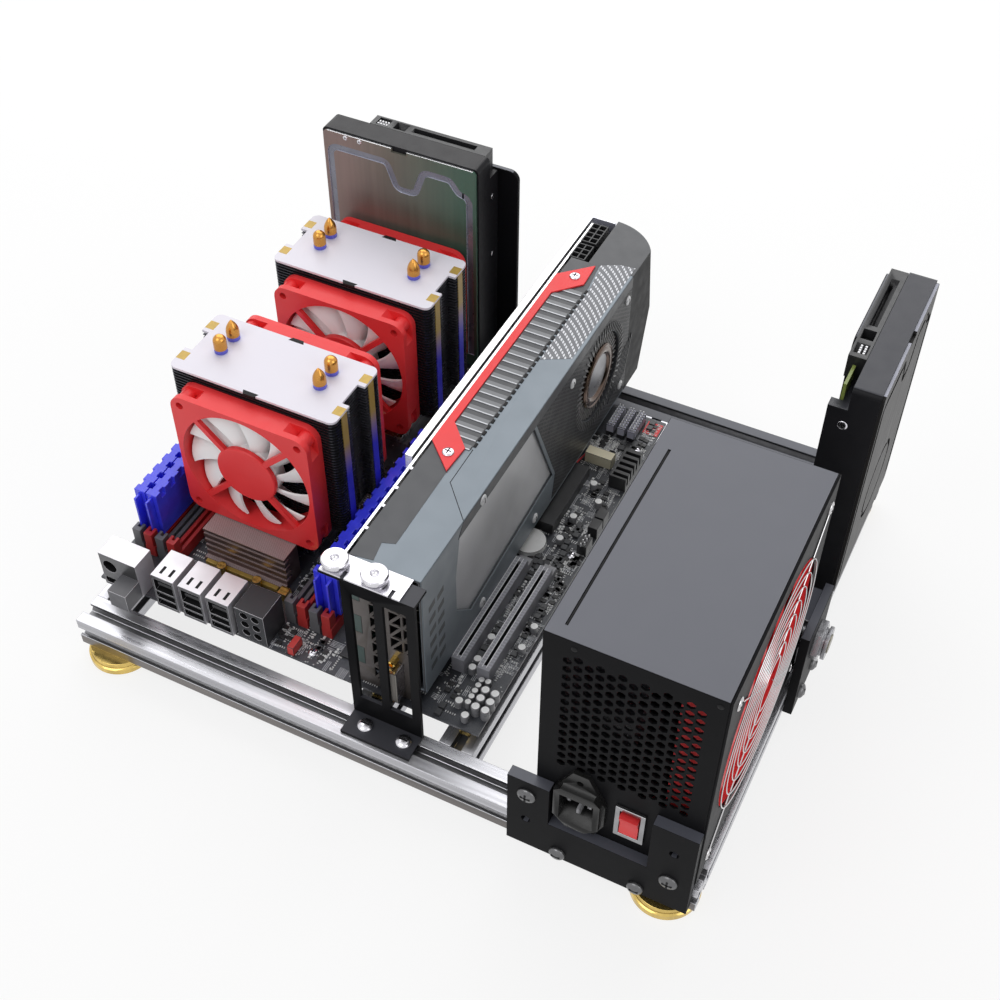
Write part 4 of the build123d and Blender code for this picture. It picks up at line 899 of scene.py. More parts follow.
def row(name, form, finish, slot, count, start, step, stands_for=()):
    """Copies of one form along a line."""
    mesh = form.mesh(name + "_form", [finish])
    line = grown("row", name, mesh, finish, Count=count, Start=metres(*start), Step=metres(*step))
    return piece(name, line, slot, stands_for=stands_for)


def wheel(name, form, finish, slot, count, centre, axis, body="bench", stands_for=()):
    """Copies of one form turned about an axis."""
    mesh = form.mesh(name + "_form", [finish])
    arrow = tuple(lay(axis, 0.0, 0.0, 1.0))
    around = grown("wheel", name, mesh, finish, Count=count, Centre=metres(*centre), Axis=arrow)
    return piece(name, around, slot, body, stands_for)


# Screw head and its recess: depth under the face, then shares of height and radius
HEAD_SINK = 0.3
HEAD_WALL = 0.25
RECESS_REACH = 0.55
RECESS_HALF = 0.11
RECESS_FLOOR = 0.7
RECESS_TOP = 1.01


def screws(name, spots, turn, radius, height, finish, cross=True):
    """Dome headed screws with a recess in each head."""
    dome = [(0, -HEAD_SINK), (radius, -HEAD_SINK), (radius, HEAD_WALL * height)]
    dome += [(radius * math.cos(t), height * (HEAD_WALL + (1 - HEAD_WALL) * math.sin(t)))
             for t in (math.radians(15 * k) for k in range(1, 7))]
    head = spread(name, turned(dome, 28), finish, "steel", spots, turn)
    reach, half = radius * RECESS_REACH, radius * RECESS_HALF
    low, high = height * RECESS_FLOOR, height * RECESS_TOP
    mark = Form().box((-reach, -half, low), (reach, half, high))
    if cross:
        mark.box((-half, -reach, low), (half, reach, high))
    spread(name + "_recess", mark, shadow_finish(), "dark_plastic", spots, turn)
    return head


# Rail frame

RAILS = ("front_rail", "rear_rail", "left_rail", "middle_rail", "board_rail", "right_rail")
RAIL_HALF = 10.0
SHADED_BELOW = 2.0
FOOT_RADIUS = 18.5
FOOT_RIM = 5.0


def rail_look(centre, along):
    """Face picker of a rail: outside, slot wall, front strip or slot floor; the last three take painted
    shade.
    """
    first, second, index = AXES[along]

    def pick(c, normal):
        off = max(abs(c[first] - centre[first]), abs(c[second] - centre[second]))
        if off < RAIL_HALF - SKIN and abs(normal[index]) < 0.5:
            return 3 if normal.z > 0.5 else 1
        return 2 if normal.y < -0.5 and c.z < centre.z - SHADED_BELOW else 0
    return pick


def build_frame():
    """Rails, feet and spacers."""
    # Slot walls, slot floors and the low front strip of each rail take darker finishes: painted shade
    lining = surface("slot_lining", (0.035, 0.035, 0.038), rough=0.5, metal=0.3, vary=0.15, grain=120.0)
    trough = surface("slot_floor", (0.19, 0.19, 0.20), rough=0.4, metal=0.7, vary=0.3, grain=190.0)
    under = surface("rail_under", (0.17, 0.155, 0.15), rough=0.32, metal=0.85, vary=0.4, grain=190.0,
                    stretch=(0.02, 1, 1))
    for node in RAILS:
        lo, hi = node_box(node)
        along = "x" if hi.x - lo.x > hi.y - lo.y else "y"
        # The rear rail takes the black coat's level copy, with its painted light, on every face
        outside = painted_light_black() if node == "rear_rail" else rail_finish(along)
        dress(node, [outside, lining, under, trough], 0.3, rail_look((lo + hi) / 2, along))
    lo, hi = node_box("feet")
    r = FOOT_RADIUS
    tall = hi.z - lo.z
    profile = [(0, 0), (r - 1.0, 0), (r, 1.0), (r, FOOT_RIM - 0.8), (r - 0.8, FOOT_RIM), (r - 1.5, FOOT_RIM),
               (r - 1.5, tall - 0.4), (r - 1.9, tall), (0, tall)]
    spots = [(x, y, lo.z) for x in (lo.x + r, hi.x - r) for y in (lo.y + r, hi.y - r)]
    spread("feet_turned", turned(profile, 72), brass(), "brass", spots, stands_for=["feet"])
    dress("board_standoffs", brass(), 0.3)


# Motherboard, with places measured from its near left corner

# Areas with small parts: left, near, right and far edge
CLUTTER = (
    (112, 2, 150, 18), (150, 2, 222, 30), (216.5, 33, 223, 112), (232, 34, 239, 110), (206, 116, 232, 126),
    (216, 141, 233, 192), (228, 125, 239, 135), (204, 216, 228, 232), (231, 224, 239, 256),
    (36, 26, 44, 250),
    (104, 34, 110, 160), (144, 30, 158, 250), (6, 172, 40, 250), (60, 230, 150, 256), (208, 113, 236, 200),
    (205, 200, 239, 234), (216, 33, 236, 120))
CLUTTER_RIGHT = 239.0
CLUTTER_FAR = 258.0

# Small parts: size, number of rows, most in a row, pitch and finish
SMALL_PARTS = {
    "resistors": ((0.6, 1.1, 0.45), 330, 8, 1.35, chip_marks),
    "bars": ((1.1, 0.6, 0.45), 260, 7, 1.5, chip_marks),
    "packages": ((3.4, 2.6, 1.0), 110, 2, 4.4, dark_plastic),
    "pads": ((1.4, 1.4, 0.6), 130, 4, 2.2, chip_marks),
    "inductors": ((3.6, 3.6, 1.8), 34, 2, 4.6, mid_plastic),
    "prints": ((5.0, 0.28, 0.06), 240, 5, 0.9, board_print),
    "rails": ((0.28, 7.0, 0.06), 200, 5, 0.9, board_print),
}
PRINT_HEIGHT = 0.4
RED_LINE = ((207.0, 218.0), (198.5, 171.0))
RED_PATCH = ((230.0, 246.0), (239.8, 257.0))
BOARD_SCREWS = ((10, 10), (232.5, 133.5), (232.5, 229.0), (10, 183.5), (136, 7.5))


def on_board(places, rise=0.0):
    """Points at a height over the board's top."""
    lo, hi = node_box("motherboard")
    return [(lo.x + u, lo.y + v, hi.z + rise) for u, v in places]


def scatter(draw, size, rows, most, pitch):
    """Places of short rows of one small part."""
    places = []
    sideways = size[0] < size[1]
    for _ in range(rows):
        left, near, right, far = draw.choice(CLUTTER)
        u, v = draw.uniform(left, right), draw.uniform(near, far)
        for k in range(draw.randint(2, most)):
            place = (u + k * pitch, v) if sideways else (u, v + k * pitch)
            if place[0] < CLUTTER_RIGHT and place[1] < CLUTTER_FAR:
                places.append(place)
    return places


def build_motherboard():
    """Board with its small parts, red marks and screws."""
    dress("motherboard", solder_mask(), 0.15)
    draw = random.Random(sizes().chip_seed)
    for name, (size, rows, most, pitch, finish) in SMALL_PARTS.items():
        x, y = size[0] / 2, size[1] / 2
        form = Form().box((-x, -y, -0.05), (x, y, size[2]))
        if size[2] > PRINT_HEIGHT:
            form.soften(0.12, 1)
        spots = on_board(scatter(draw, size, rows, most, pitch))
        spread("board_" + name, form, finish(), "dark_plastic", spots)
    marks = Form().tube(on_board(RED_LINE, 0.1), 0.55, 6)
    (left, near, top), (right, far, _) = on_board(RED_PATCH)
    marks.box((left, near, top - 0.1), (right, far, top + 0.25))
    piece("board_red_marks", marks.mesh("board_red_marks", [red_plastic()]), "red_plastic")
    screws("board_screws", on_board(BOARD_SCREWS), UP, 2.9, 1.8, steel())


# Ports along the board's near edge

PORT_STACKS = 3
PORT_FIRST = 41.0
PORT_PITCH = 17.8
PORT_WIDE = 14.6
SOCKET_HEIGHTS = (4.6, 4.6, 9.6)
SOCKET_FLOOR = 2.0
SOCKET_WALL = 1.2
SOCKET_WIDE = 12.1
MOUSE_FIRST = 5.6
MOUSE_WIDE = 25.0
SERIAL_DEEP = 13.0
JACKS_FROM = 92.5
JACKS_LEFT = 95.0
JACKS_RIGHT = 110.0


def port_look(lo, hi, corner, front):
    """Face picker of the ports: shell, jack block, serial block, socket inside or shell front; the last two
    take painted shade.
    """

    def pick(c, normal):
        u = c.x - corner.x
        if u > JACKS_FROM:
            hole = JACKS_LEFT < u < JACKS_RIGHT and c.z < hi.z - 2.5
            return 3 if hole and c.y > front + 2.5 and abs(normal.y) < 0.9 else 1
        if c.y < front - SKIN and u < PORT_FIRST - 1.0:
            return 2
        stack = u > PORT_FIRST - 0.5
        place = (u - PORT_FIRST) % PORT_PITCH if stack else u - MOUSE_FIRST
        wide = PORT_WIDE if stack else MOUSE_WIDE
        within = 0.2 < place < wide - 0.2 and lo.z + 0.2 < c.z < hi.z - 0.2
        if within and front + SKIN < c.y < front + 14.0:
            return 3
        return 4 if normal.y < -0.5 else 0
    return pick


def build_ports():
    """Port blocks with spring slots and dark linings."""
    lo, hi = node_box("rear_ports")
    corner = node_box("motherboard")[0]
    front = lo.y + SERIAL_DEEP
    shell = surface("port_shell", (0.60, 0.59, 0.62), rough=0.38, metal=0.6, vary=0.05, bump=0.02)
    painted_shade_front = surface("port_front", (0.13, 0.13, 0.135), rough=0.35, metal=0.8, grain=200.0)
    jack = surface("jack_block", (0.030, 0.031, 0.035), rough=0.42, grain=90.0, bump=0.10, spec=0.3)
    looks = [shell, jack, grey_plastic(), shadow_finish(), painted_shade_front]
    dress("rear_ports", looks, 0.3, port_look(lo, hi, corner, front))
    lefts = [corner.x + PORT_FIRST + i * PORT_PITCH for i in range(PORT_STACKS)]
    slots = [(left + PORT_WIDE * share, front + 3.0, hi.z) for left in lefts for share in (0.3, 0.7)]
    slot = Form().box((-0.9, 0, -0.5), (0.9, 5.5, 0.03))
    spread("port_spring_slots", slot, shadow_finish(), "dark_plastic", slots)
    linings = Form()
    for left in lefts:
        x = left + (PORT_WIDE - SOCKET_WIDE) / 2
        z = lo.z + SOCKET_FLOOR
        for height in SOCKET_HEIGHTS:
            linings.box((x, front + 9.0, z + 0.1), (x + SOCKET_WIDE, front + 12.8, z + height - 0.1))
            middle = z + height / 2
            tongue = 0.8 if height < 6 else 1.2
            linings.box((x + 1.2, front + 1.5, middle - tongue),
                        (x + SOCKET_WIDE - 1.2, front + 9.2, middle + tongue))
            z += height + SOCKET_WALL
    piece("port_linings", linings.soften(0.1, 1).mesh("port_linings", [dark_plastic()]), "dark_plastic")


def build_memory():
    """Memory slots and modules."""
    dress("ram_slots_grey", grey_plastic(), 0.25)
    dress("ram_slots_red", surface("slot_red", (0.42, 0.022, 0.020), rough=0.42, vary=0.08,
                                   grain=90.0), 0.25)
    dress("ram_modules", spreader_finish(), 0.3)


def build_regulator():
    """Regulator heatsink with its yellow flange."""
    side = surface("regulator_sink", (0.16, 0.105, 0.095), rough=0.34, metal=0.7, grain=900.0, bump=0.25)
    top = dotted_finish("regulator_top", (0.33, 0.255, 0.255), (0.42, 0.33, 0.33), (0.12, 0.08, 0.08),
                        1500.0)
    dress("vrm_heatsink", [side, top], 0.25, level)
    lo, hi = node_box("vrm_heatsink")
    flange = Form().box((lo.x + 2.0, lo.y - 2.4, lo.z), (hi.x - 4.0, lo.y + 0.4, lo.z + 2.8)).soften(0.4)
    piece("regulator_flange", flange.mesh("regulator_flange", [yellow_metal()]), "brass")


# Expansion slots

SLOT_HALF = 3.7
SLOT_PITCH = 15.2
SLOT_LATCH = 5.9
SLOT_GROOVE = 7.9
SLOT_LENGTH = 79.0
RIB_COUNT = 36
RIB_PITCH = 2.1


def build_slots():
    """Expansion slots with contact ribs and pale lips."""
    lo, hi = node_box("pcie_slots")
    open_slots = (hi.x - SLOT_HALF, hi.x - SLOT_HALF - SLOT_PITCH)
    middles = (lo.x + SLOT_HALF, *open_slots)

    def outer_wall(x):
        return any(abs(abs(x - m) - SLOT_HALF) < SKIN for m in middles)

    def pick(c, normal):
        if c.y > hi.y - SLOT_LATCH:
            return 1
        wall = normal.z < 0.5 and abs(normal.x) > 0.5
        groove = wall and hi.z - SLOT_GROOVE < c.z < hi.z - 0.3
        return 2 if groove and not outer_wall(c.x) else 0
    slot_grey = surface("slot_grey", (0.34, 0.34, 0.38), rough=0.42, vary=0.10, grain=120.0)
    dress("pcie_slots", [slot_grey, pale_plastic(), shadow_finish()], 0.2, pick)
    ribs = Form()
    for x in (-2.35, 2.35):
        ribs.box((x - 1.15, -0.45, -0.2), (x + 1.15, 0.45, 0.08))
    spots = [(x, lo.y + 3.0 + RIB_PITCH * k, hi.z) for x in open_slots for k in range(RIB_COUNT)]
    rib_grey = surface("slot_rib", (0.44, 0.44, 0.49), rough=0.4, vary=0.10, grain=200.0)
    spread("pcie_ribs", ribs, rib_grey, "grey_plastic", spots)
    lips = Form()
    for x in open_slots:
        for edge in (x - 3.45, x - 1.15, x + 1.15):
            lips.box((edge - 0.22, lo.y + 1.5, hi.z - 0.2), (edge + 0.22, lo.y + SLOT_LENGTH, hi.z + 0.12))
    piece("pcie_lips", lips.mesh("pcie_lips", [marks_white()]), "grey_plastic")


# Headers, cell and cans

HEADERS = (210.2, 217.4, 224.0)
HEADER_NEAR = 236.0
HEADER_PITCH = 2.35
EDGE_PINS = (237.0, 136.5)
EDGE_PITCH = 1.6
CELL_CLIP = ((193.6, 125.6), (199.6, 133.4))

# Finishes of the board's blocks: the red one's sides, then right, near and far edge by finish
RED_BLOCK = (120, 130)
BLOCK_AREAS = {3: (228, 200, 216), 4: (232, 233, 300), 5: (218, 120, 142)}

# Cans: profile, sides, radius and height of the lid, and places
CANS = {
    "tall": ([(0, 0), (2.6, 0), (2.6, 0.5), (2.35, 0.9), (2.6, 1.3), (2.6, 6.6), (2.3, 7.0),
              (2.1, 6.8), (0, 6.8)],
             20, 2.1, 6.78,
             ((233.0, 11.8), (233.0, 17.6), (233.0, 23.4), (238.7, 11.8), (238.7, 17.6), (238.7, 23.4))),
    "small": ([(0, 0), (1.8, 0), (1.8, 4.7), (1.6, 5.0), (0, 5.0)],
              18, 1.6, 4.95,
              ((227.6, 13.7), (227.6, 17.7), (227.6, 21.7), (227.6, 25.6), (227.6, 29.5), (231.3, 29.9))),
    "low": ([(0, 0), (2.35, 0), (2.35, 4.6), (2.05, 5.0), (0, 5.0)],
            20, 2.05, 4.95,
            ((222.5, 139.5), (222.5, 158.5), (222.5, 188.2), (231.0, 175.8), (223.0, 12.4), (230.0, 5.6),
             (237.2, 74.4), (237.3, 58.5), (219.4, 57.5), (219.4, 41.0), (219.4, 34.8))),
}


def build_board_blocks():
    """Processor sockets, headers with pins and the coin cell with its clip."""
    dress("cpu_sockets", steel(), 0.3)
    corner = node_box("motherboard")[0]

    def pick(c, normal):
        u, v = c.x - corner.x, c.y - corner.y
        if u < RED_BLOCK[1]:
            return 1 if u > RED_BLOCK[0] else 2
        for look, (right, near, far) in BLOCK_AREAS.items():
            if u < right and near < v < far:
                return look
        return 0
    red = surface("header_red", (0.55, 0.03, 0.025), rough=0.4)
    cream = surface("cream_plastic", (0.80, 0.74, 0.55), rough=0.45)
    cell = surface("cell_white", (0.90, 0.90, 0.90), rough=0.30, vary=0.04)
    dress("board_parts", [dark_plastic(), red, gold(), cream, pin_rows("pin_rows"), cell], 0.25, pick)
    pins = [(u + du, HEADER_NEAR + HEADER_PITCH * k) for u in HEADERS for du in (1.5, 3.5) for k in range(8)]
    spread("header_pins", Form().box((-0.35, -0.35, -0.4), (0.35, 0.35, 2.6)), marks_white(), "can",
           on_board(pins, 8.5))
    u, v = EDGE_PINS
    pins = [(u + (k % 2) * EDGE_PITCH, v + EDGE_PITCH * k) for k in range(6)]
    spread("edge_pins", Form().box((-0.35, -0.35, -0.4), (0.35, 0.35, 2.4)), marks_white(), "can",
           on_board(pins, 8.0))
    (left, near, floor), (right, far, _) = on_board(CELL_CLIP)
    clip = Form().box((left, near, floor), (right, far, floor + 3.4)).soften(0.3)
    piece("cell_clip", clip.mesh("cell_clip", [dark_plastic()]), "dark_plastic")


def build_cans():
    """Round capacitors: grey sleeves with white lids."""
    for name, (profile, sides, _, _, places) in CANS.items():
        nodes = ["capacitors"] if name == "tall" else []
        sleeve = turned(profile, sides)
        spread("cans_" + name, sleeve, can_sleeve(), "can", on_board(places), stands_for=nodes)
    for name, (_, _, radius, height, places) in CANS.items():
        lid = turned([(0, 0), (radius, 0), (radius, 0.08), (radius - 0.12, 0.16), (0, 0.16)], 20)
        spread("can_lids_" + name, lid, can_white(), "can", on_board(places, height))


# Coolers, with places measured from the middle of the fin stack

FIN_HALF = (51.25, 24.0)
FIN_ROUND = 4.0
FIN_NOTCH = (4.5, 8.0)
PLATE_THICK = 1.4
COLUMN_Y = 13.8
TAB_X = 48.5
COLUMN_X = 51.15
CLIP_Y = 23.2
BASE_HALF = 22.0
BASE_HEIGHT = 11.0
BASE_SHIFT = 4.0
PIPE_SHIFT = -1.0
PIPE_HALF_SPAN = 31.0
PIPE_RADIUS = 3.0
PIPE_BEND = 10.0
PIPE_RISE = 5.5
PIPE_ROW = 6.0
TIP_RADIUS = 3.7
TIP_BAND = 2.6
DOME_START = 7.6
POINT_START = 4.4
POINT_RISE = 8.4
POINT_TOP = 12.9
POINT_STEPS = 12
SIGNS = ((-1, -1), (-1, 1), (1, -1), (1, 1))


def fin_outline(cx, cy):
    """Outline of a cooler fin: rounded corners and a notch at each end."""
    half_x, half_y = FIN_HALF
    deep, wide = FIN_NOTCH
    points = []
    for sx, sy in ((1, 1), (-1, 1), (-1, -1), (1, -1)):
        corner = [(half_x + FIN_ROUND * (math.cos(t) - 1), half_y + FIN_ROUND * (math.sin(t) - 1))
                  for t in (math.radians(15 * k) for k in range(7))]
        step = [(half_x - deep, wide), (half_x, wide)]
        quarter = [(sx * a, sy * b) for a, b in step + corner]
        points += quarter if sx * sy > 0 else quarter[::-1]
    return [(cx + a, cy + b) for a, b in points]


def arc_path(points, radius, steps=8):
    """Path through corner points with rounded bends."""
    pts = [Vector(p) for p in points]
    path = [pts[0]]
    for before, corner, after in zip(pts, pts[1:], pts[2:]):
        first = corner + (before - corner).normalized() * radius
        last = corner + (after - corner).normalized() * radius
        centre = first + last - corner
        for k in range(steps + 1):
            t = math.pi / 2 * k / steps
            path.append(centre + (first - centre) * math.cos(t) + (last - centre) * math.sin(t))
    path.append(pts[-1])
    return path


def build_fins(name):
    """Fin stack, top plate with clips and gold columns of one cooler."""
    lo, hi = node_box(f"cooler_{name}_fins")
    cx, cy = (lo.x + hi.x) / 2, (lo.y + hi.y) / 2
    under = hi.z - PLATE_THICK
    fins = sizes().fin_count
    black = surface("fin_black", (0.050, 0.050, 0.060), rough=0.26, metal=0.7, vary=0.2, grain=80.0,
                    bump=0.02)
    fin = Form().prism([fin_outline(cx, cy)], "z", 0, sizes().fin_thick / MM)
    pitch = (under - lo.z) / fins
    row(f"cooler_{name}_fin_stack", fin, black, "dark_fins", fins, (0, 0, lo.z), (0, 0, pitch),
        stands_for=[f"cooler_{name}_fins"])
    bright = surface("top_plate", (0.75, 0.725, 0.80), rough=0.40, vary=0.02, grain=30.0, bump=0.0,
                     spread=0.02, spec=0.35)
    plate = Form().prism([fin_outline(cx, cy)], "z", under, hi.z).soften(0.3)
    columns = Form()
    for sx, sy in SIGNS:
        x, y = cx + sx * TAB_X, cy + sy * COLUMN_Y
        plate.box((x - 2.7, y - 3.2, hi.z - 0.5), (x + 2.7, y + 3.2, hi.z + 0.03), 1)
        x = cx + sx * COLUMN_X
        columns.box((x - 0.3, y - 2.6, lo.z), (x + 0.3, y + 2.6, under))
    for sy in (-1, 1):
        near, far = cy + sy * (CLIP_Y - 1.0), cy + sy * (CLIP_Y + 1.6)
        clip = [(cx - 4.8, near), (cx - 3.4, far), (cx + 3.4, far), (cx + 4.8, near)]
        plate.prism([clip], "z", under, hi.z + 0.05, 2)
    looks = [bright, yellow_metal(), shadow_finish()]
    piece(f"cooler_{name}_top_plate", plate.mesh("top_plate", looks), "dark_fins")
    blush = fading("column_blush", "Z", hi.z - 46, hi.z - 22, (0.035, 0.035, 0.72), (0.40, 0.27, 0.06),
                   0.4, 0.0)
    piece(f"cooler_{name}_columns", columns.mesh("columns", [blush]), "steel")


def nose(pointed):
    """Profile of a heat pipe's end: a point or a dome."""
    if pointed:
        shares = [k / POINT_STEPS for k in range(POINT_STEPS + 1)]
        curve = [(TIP_RADIUS * (1 - s ** 2.1) + 0.25 * s, POINT_START + POINT_RISE * s) for s in shares]
        return curve + [(0, POINT_TOP)]
    turns = (math.radians(10 * k) for k in range(10))
    return [(TIP_RADIUS * math.cos(t), DOME_START + TIP_RADIUS * math.sin(t)) for t in turns]


def build_pipes(name):
    """Base block with bent heat pipes, their tips and the bands under them."""
    lo, hi = node_box(f"cooler_{name}_fins")
    top = hi.z
    cx, cy = (lo.x + hi.x) / 2, (lo.y + hi.y) / 2 + BASE_SHIFT
    floor = node_box(f"cooler_{name}_core")[0].z
    core = Form().box((cx - BASE_HALF, cy - BASE_HALF, floor),
                      (cx + BASE_HALF, cy + BASE_HALF, floor + BASE_HEIGHT)).soften(0.5)
    left, right = cx + PIPE_SHIFT - PIPE_HALF_SPAN, cx + PIPE_SHIFT + PIPE_HALF_SPAN
    tips = Form()
    bands = Form()
    band = [(0, 0.0), (TIP_RADIUS - 0.3, 0.0), (TIP_RADIUS, 0.3), (TIP_RADIUS, TIP_BAND), (0, TIP_BAND)]
    for y, pointed in ((cy - PIPE_ROW, right), (cy + PIPE_ROW, left)):
        bend = [(left, y, top), (left, y, floor + PIPE_RISE), (right, y, floor + PIPE_RISE), (right, y, top)]
        core.tube(arc_path(bend, PIPE_BEND), PIPE_RADIUS, 24)
        for x in (left, right):
            bands.lathe(band, (x, y, top), "z", 36)
            foot = [(0, TIP_BAND - 0.1), (TIP_RADIUS - 0.03, TIP_BAND - 0.1)]
            tips.lathe(foot + nose(x == pointed), (x, y, top), "z", 36)
    piece(f"cooler_{name}_pipes", core.mesh("pipes", [copper()]), "copper",
          stands_for=[f"cooler_{name}_core"])
    piece(f"cooler_{name}_pipe_tips", tips.mesh("pipe_tips", [copper()]), "copper")
    lilac = surface("tip_band", (0.13, 0.13, 0.62), rough=0.25, metal=0.3, grain=160.0, bump=0.02)
    piece(f"cooler_{name}_pipe_bands", bands.mesh("pipe_bands", [lilac]), "copper")


# Fans

FAN_DEPTH = 14.0
FAN_BORE = 40.0
FAN_FLANGE = 3.6
FAN_ROUND = 8.0
FAN_HOLE = 2.3
FAN_HOLE_WALL = 4.2
FAN_HOLE_INSET = 6.0
FAN_WAIST_INSET = 16.0
SPOKE_HALF = 1.6
SPOKE_INNER = 17.0
SPOKE_OUTER = 41.0
HUB_RADIUS = 18.5
HUB_THICK = 3.0
SHAFT_HOLE = 2.05


def fan_shell(form, cx, cz, side, y):
    """Flanges, duct and screw posts of one fan frame."""
    bore = ring(cx, cz, FAN_BORE, 96)
    offset = side / 2 - FAN_HOLE_INSET
    posts = [(cx + i * offset, cz + j * offset) for i, j in SIGNS]
    holes = [ring(px, pz, FAN_HOLE, 20) for px, pz in posts]
    flange = [rounded(cx, cz, side, side, FAN_ROUND), bore, *holes]
    low, high = y + FAN_FLANGE, y + FAN_DEPTH - FAN_FLANGE
    form.prism(flange, "y", y, low)
    form.prism(flange, "y", high, y + FAN_DEPTH)
    near, far = side / 2 - FAN_WAIST_INSET, side / 2 - 0.02
    waist = [(far, near), (near, far), (-near, far), (-far, near)]
    waist += [(-a, -b) for a, b in waist]
    form.prism([[(cx + a, cz + b) for a, b in waist], bore], "y", low, high)
    tall = high - low
    post = [(FAN_HOLE, 0), (FAN_HOLE_WALL, 0), (FAN_HOLE_WALL, tall), (FAN_HOLE, tall), (FAN_HOLE, 0)]
    for px, pz in posts:
        form.lathe(post, (px, low, pz), "y", 24)


def fan_spokes(form, cx, cz, face, out):
    """Four spokes and the hub disc behind one face of a fan frame."""
    ends = sorted((face - out * 0.4, face - out * HUB_THICK))
    for k in range(4):
        t = math.radians(45 + 90 * k)
        along = Vector((math.cos(t), math.sin(t)))
        across = Vector((-along.y, along.x)) * SPOKE_HALF
        inner, outer = along * SPOKE_INNER, along * SPOKE_OUTER
        corners = (inner - across, outer - across, outer + across, inner + across)
        form.prism([[(cx + p.x, cz + p.y) for p in corners]], "y", *ends)
    r = HUB_RADIUS
    disc = [(SHAFT_HOLE, -HUB_THICK), (r - 0.1, -HUB_THICK), (r, -0.8), (r - 0.5, -0.2), (r - 2.0, 0.0),
            (SHAFT_HOLE, 0.0), (SHAFT_HOLE, -HUB_THICK)]
    plug = [(0, -0.3), (SHAFT_HOLE, -0.3), (SHAFT_HOLE, -0.05), (0, -0.05)]
    for profile, sides in ((disc, 64), (plug, 24)):
        form.lathe([(radius, out * depth) for radius, depth in profile], (cx, face, cz), "y", sides)


def build_fan_frames(name):
    """Both fan frames of a cooler."""
    lo, hi = node_box(f"cooler_{name}_fan_frames")
    cx, cz = (lo.x + hi.x) / 2, (lo.z + hi.z) / 2
    form = Form()
    for y in (lo.y, hi.y - FAN_DEPTH):
        fan_shell(form, cx, cz, hi.x - lo.x, y)
    form.soften(0.35)
    for face, out in ((lo.y, -1), (hi.y, 1)):
        fan_spokes(form, cx, cz, face, out)
    piece(f"cooler_{name}_fan_frames_moulded", form.mesh("fan_frames", [red_plastic()]), "red_plastic",
          stands_for=[f"cooler_{name}_fan_frames"])


# Fan wheels

SHAFT_RADIUS = 2.0
SHAFT_STUB = 3.2
SHAFT_REACH = 3.0
HUB_EDGE = 0.8
BLADE_ROOT = 0.6
BLADE_TIP_GAP = 1.3
BLADE_CAMBER = 0.10


def pivot_of(node):
    """Point on the axis of the joint that turns a node."""
    joint = next(j for j in frame["joints"] if j["child"] == body_of(node))
    return Vector(joint["pos_m"]) / MM


def shaft_points_up(node, index):
    """True where the wheel's thin shaft points along the positive axis."""
    lo, hi = node_box(node)
    pivot = pivot_of(node)

    def reach(end):
        far = 0.0
        for vertex in frame["nodes"][node].data.vertices:
            point = vertex.co / MM
            if abs(point[index] - end) < 0.2:
                off = point - pivot
                off[index] = 0.0
                far = max(far, off.length)
        return far
    return reach(hi[index]) < reach(lo[index])


def build_rotor(node, axis, bore, hub, blades, chord, angle, look, slot, thick=1.2):
    """Fan wheel with twisted blades, hub and shaft."""
    lo, hi = node_box(node)
    index = "xyz".index(axis)
    up = shaft_points_up(node, index)
    head = hi[index] - SHAFT_STUB if up else lo[index] + SHAFT_STUB
    tail = lo[index] if up else hi[index]
    middle = pivot_of(node)
    middle[index] = (head + tail) / 2
    name = node + "_wheel"
    body = body_of(node)
    r = hub / 2
    blade = Form().blade(r - BLADE_ROOT, bore / 2 - BLADE_TIP_GAP, chord, angle, thick,
                         chord * BLADE_CAMBER, axis)
    wheel(name, blade, look, slot, blades, middle, axis, body, [node])
    half = abs(head - tail) / 2 - 0.3
    sign = 1 if head > tail else -1
    profile = [(0, -half), (r - HUB_EDGE, -half), (r, HUB_EDGE - half), (r, half - HUB_EDGE),
               (r - HUB_EDGE, half), (SHAFT_RADIUS, half), (SHAFT_RADIUS, half + SHAFT_REACH),
               (0, half + SHAFT_REACH)]
    core = Form().lathe([(radius, sign * along) for radius, along in profile], middle, axis, 48)
    piece(name + "_hub", core.mesh(name + "_hub", [look]), slot, body)


# Graphics card

VIDEO_WIDE = 6.0
PORTS_DEEP = 37.0
PLUG_POSTS = ((4.5, -129.0, 41.2), (4.5, -129.0, 71.6))
TAIL_PLATE = (14.0, 2.0)


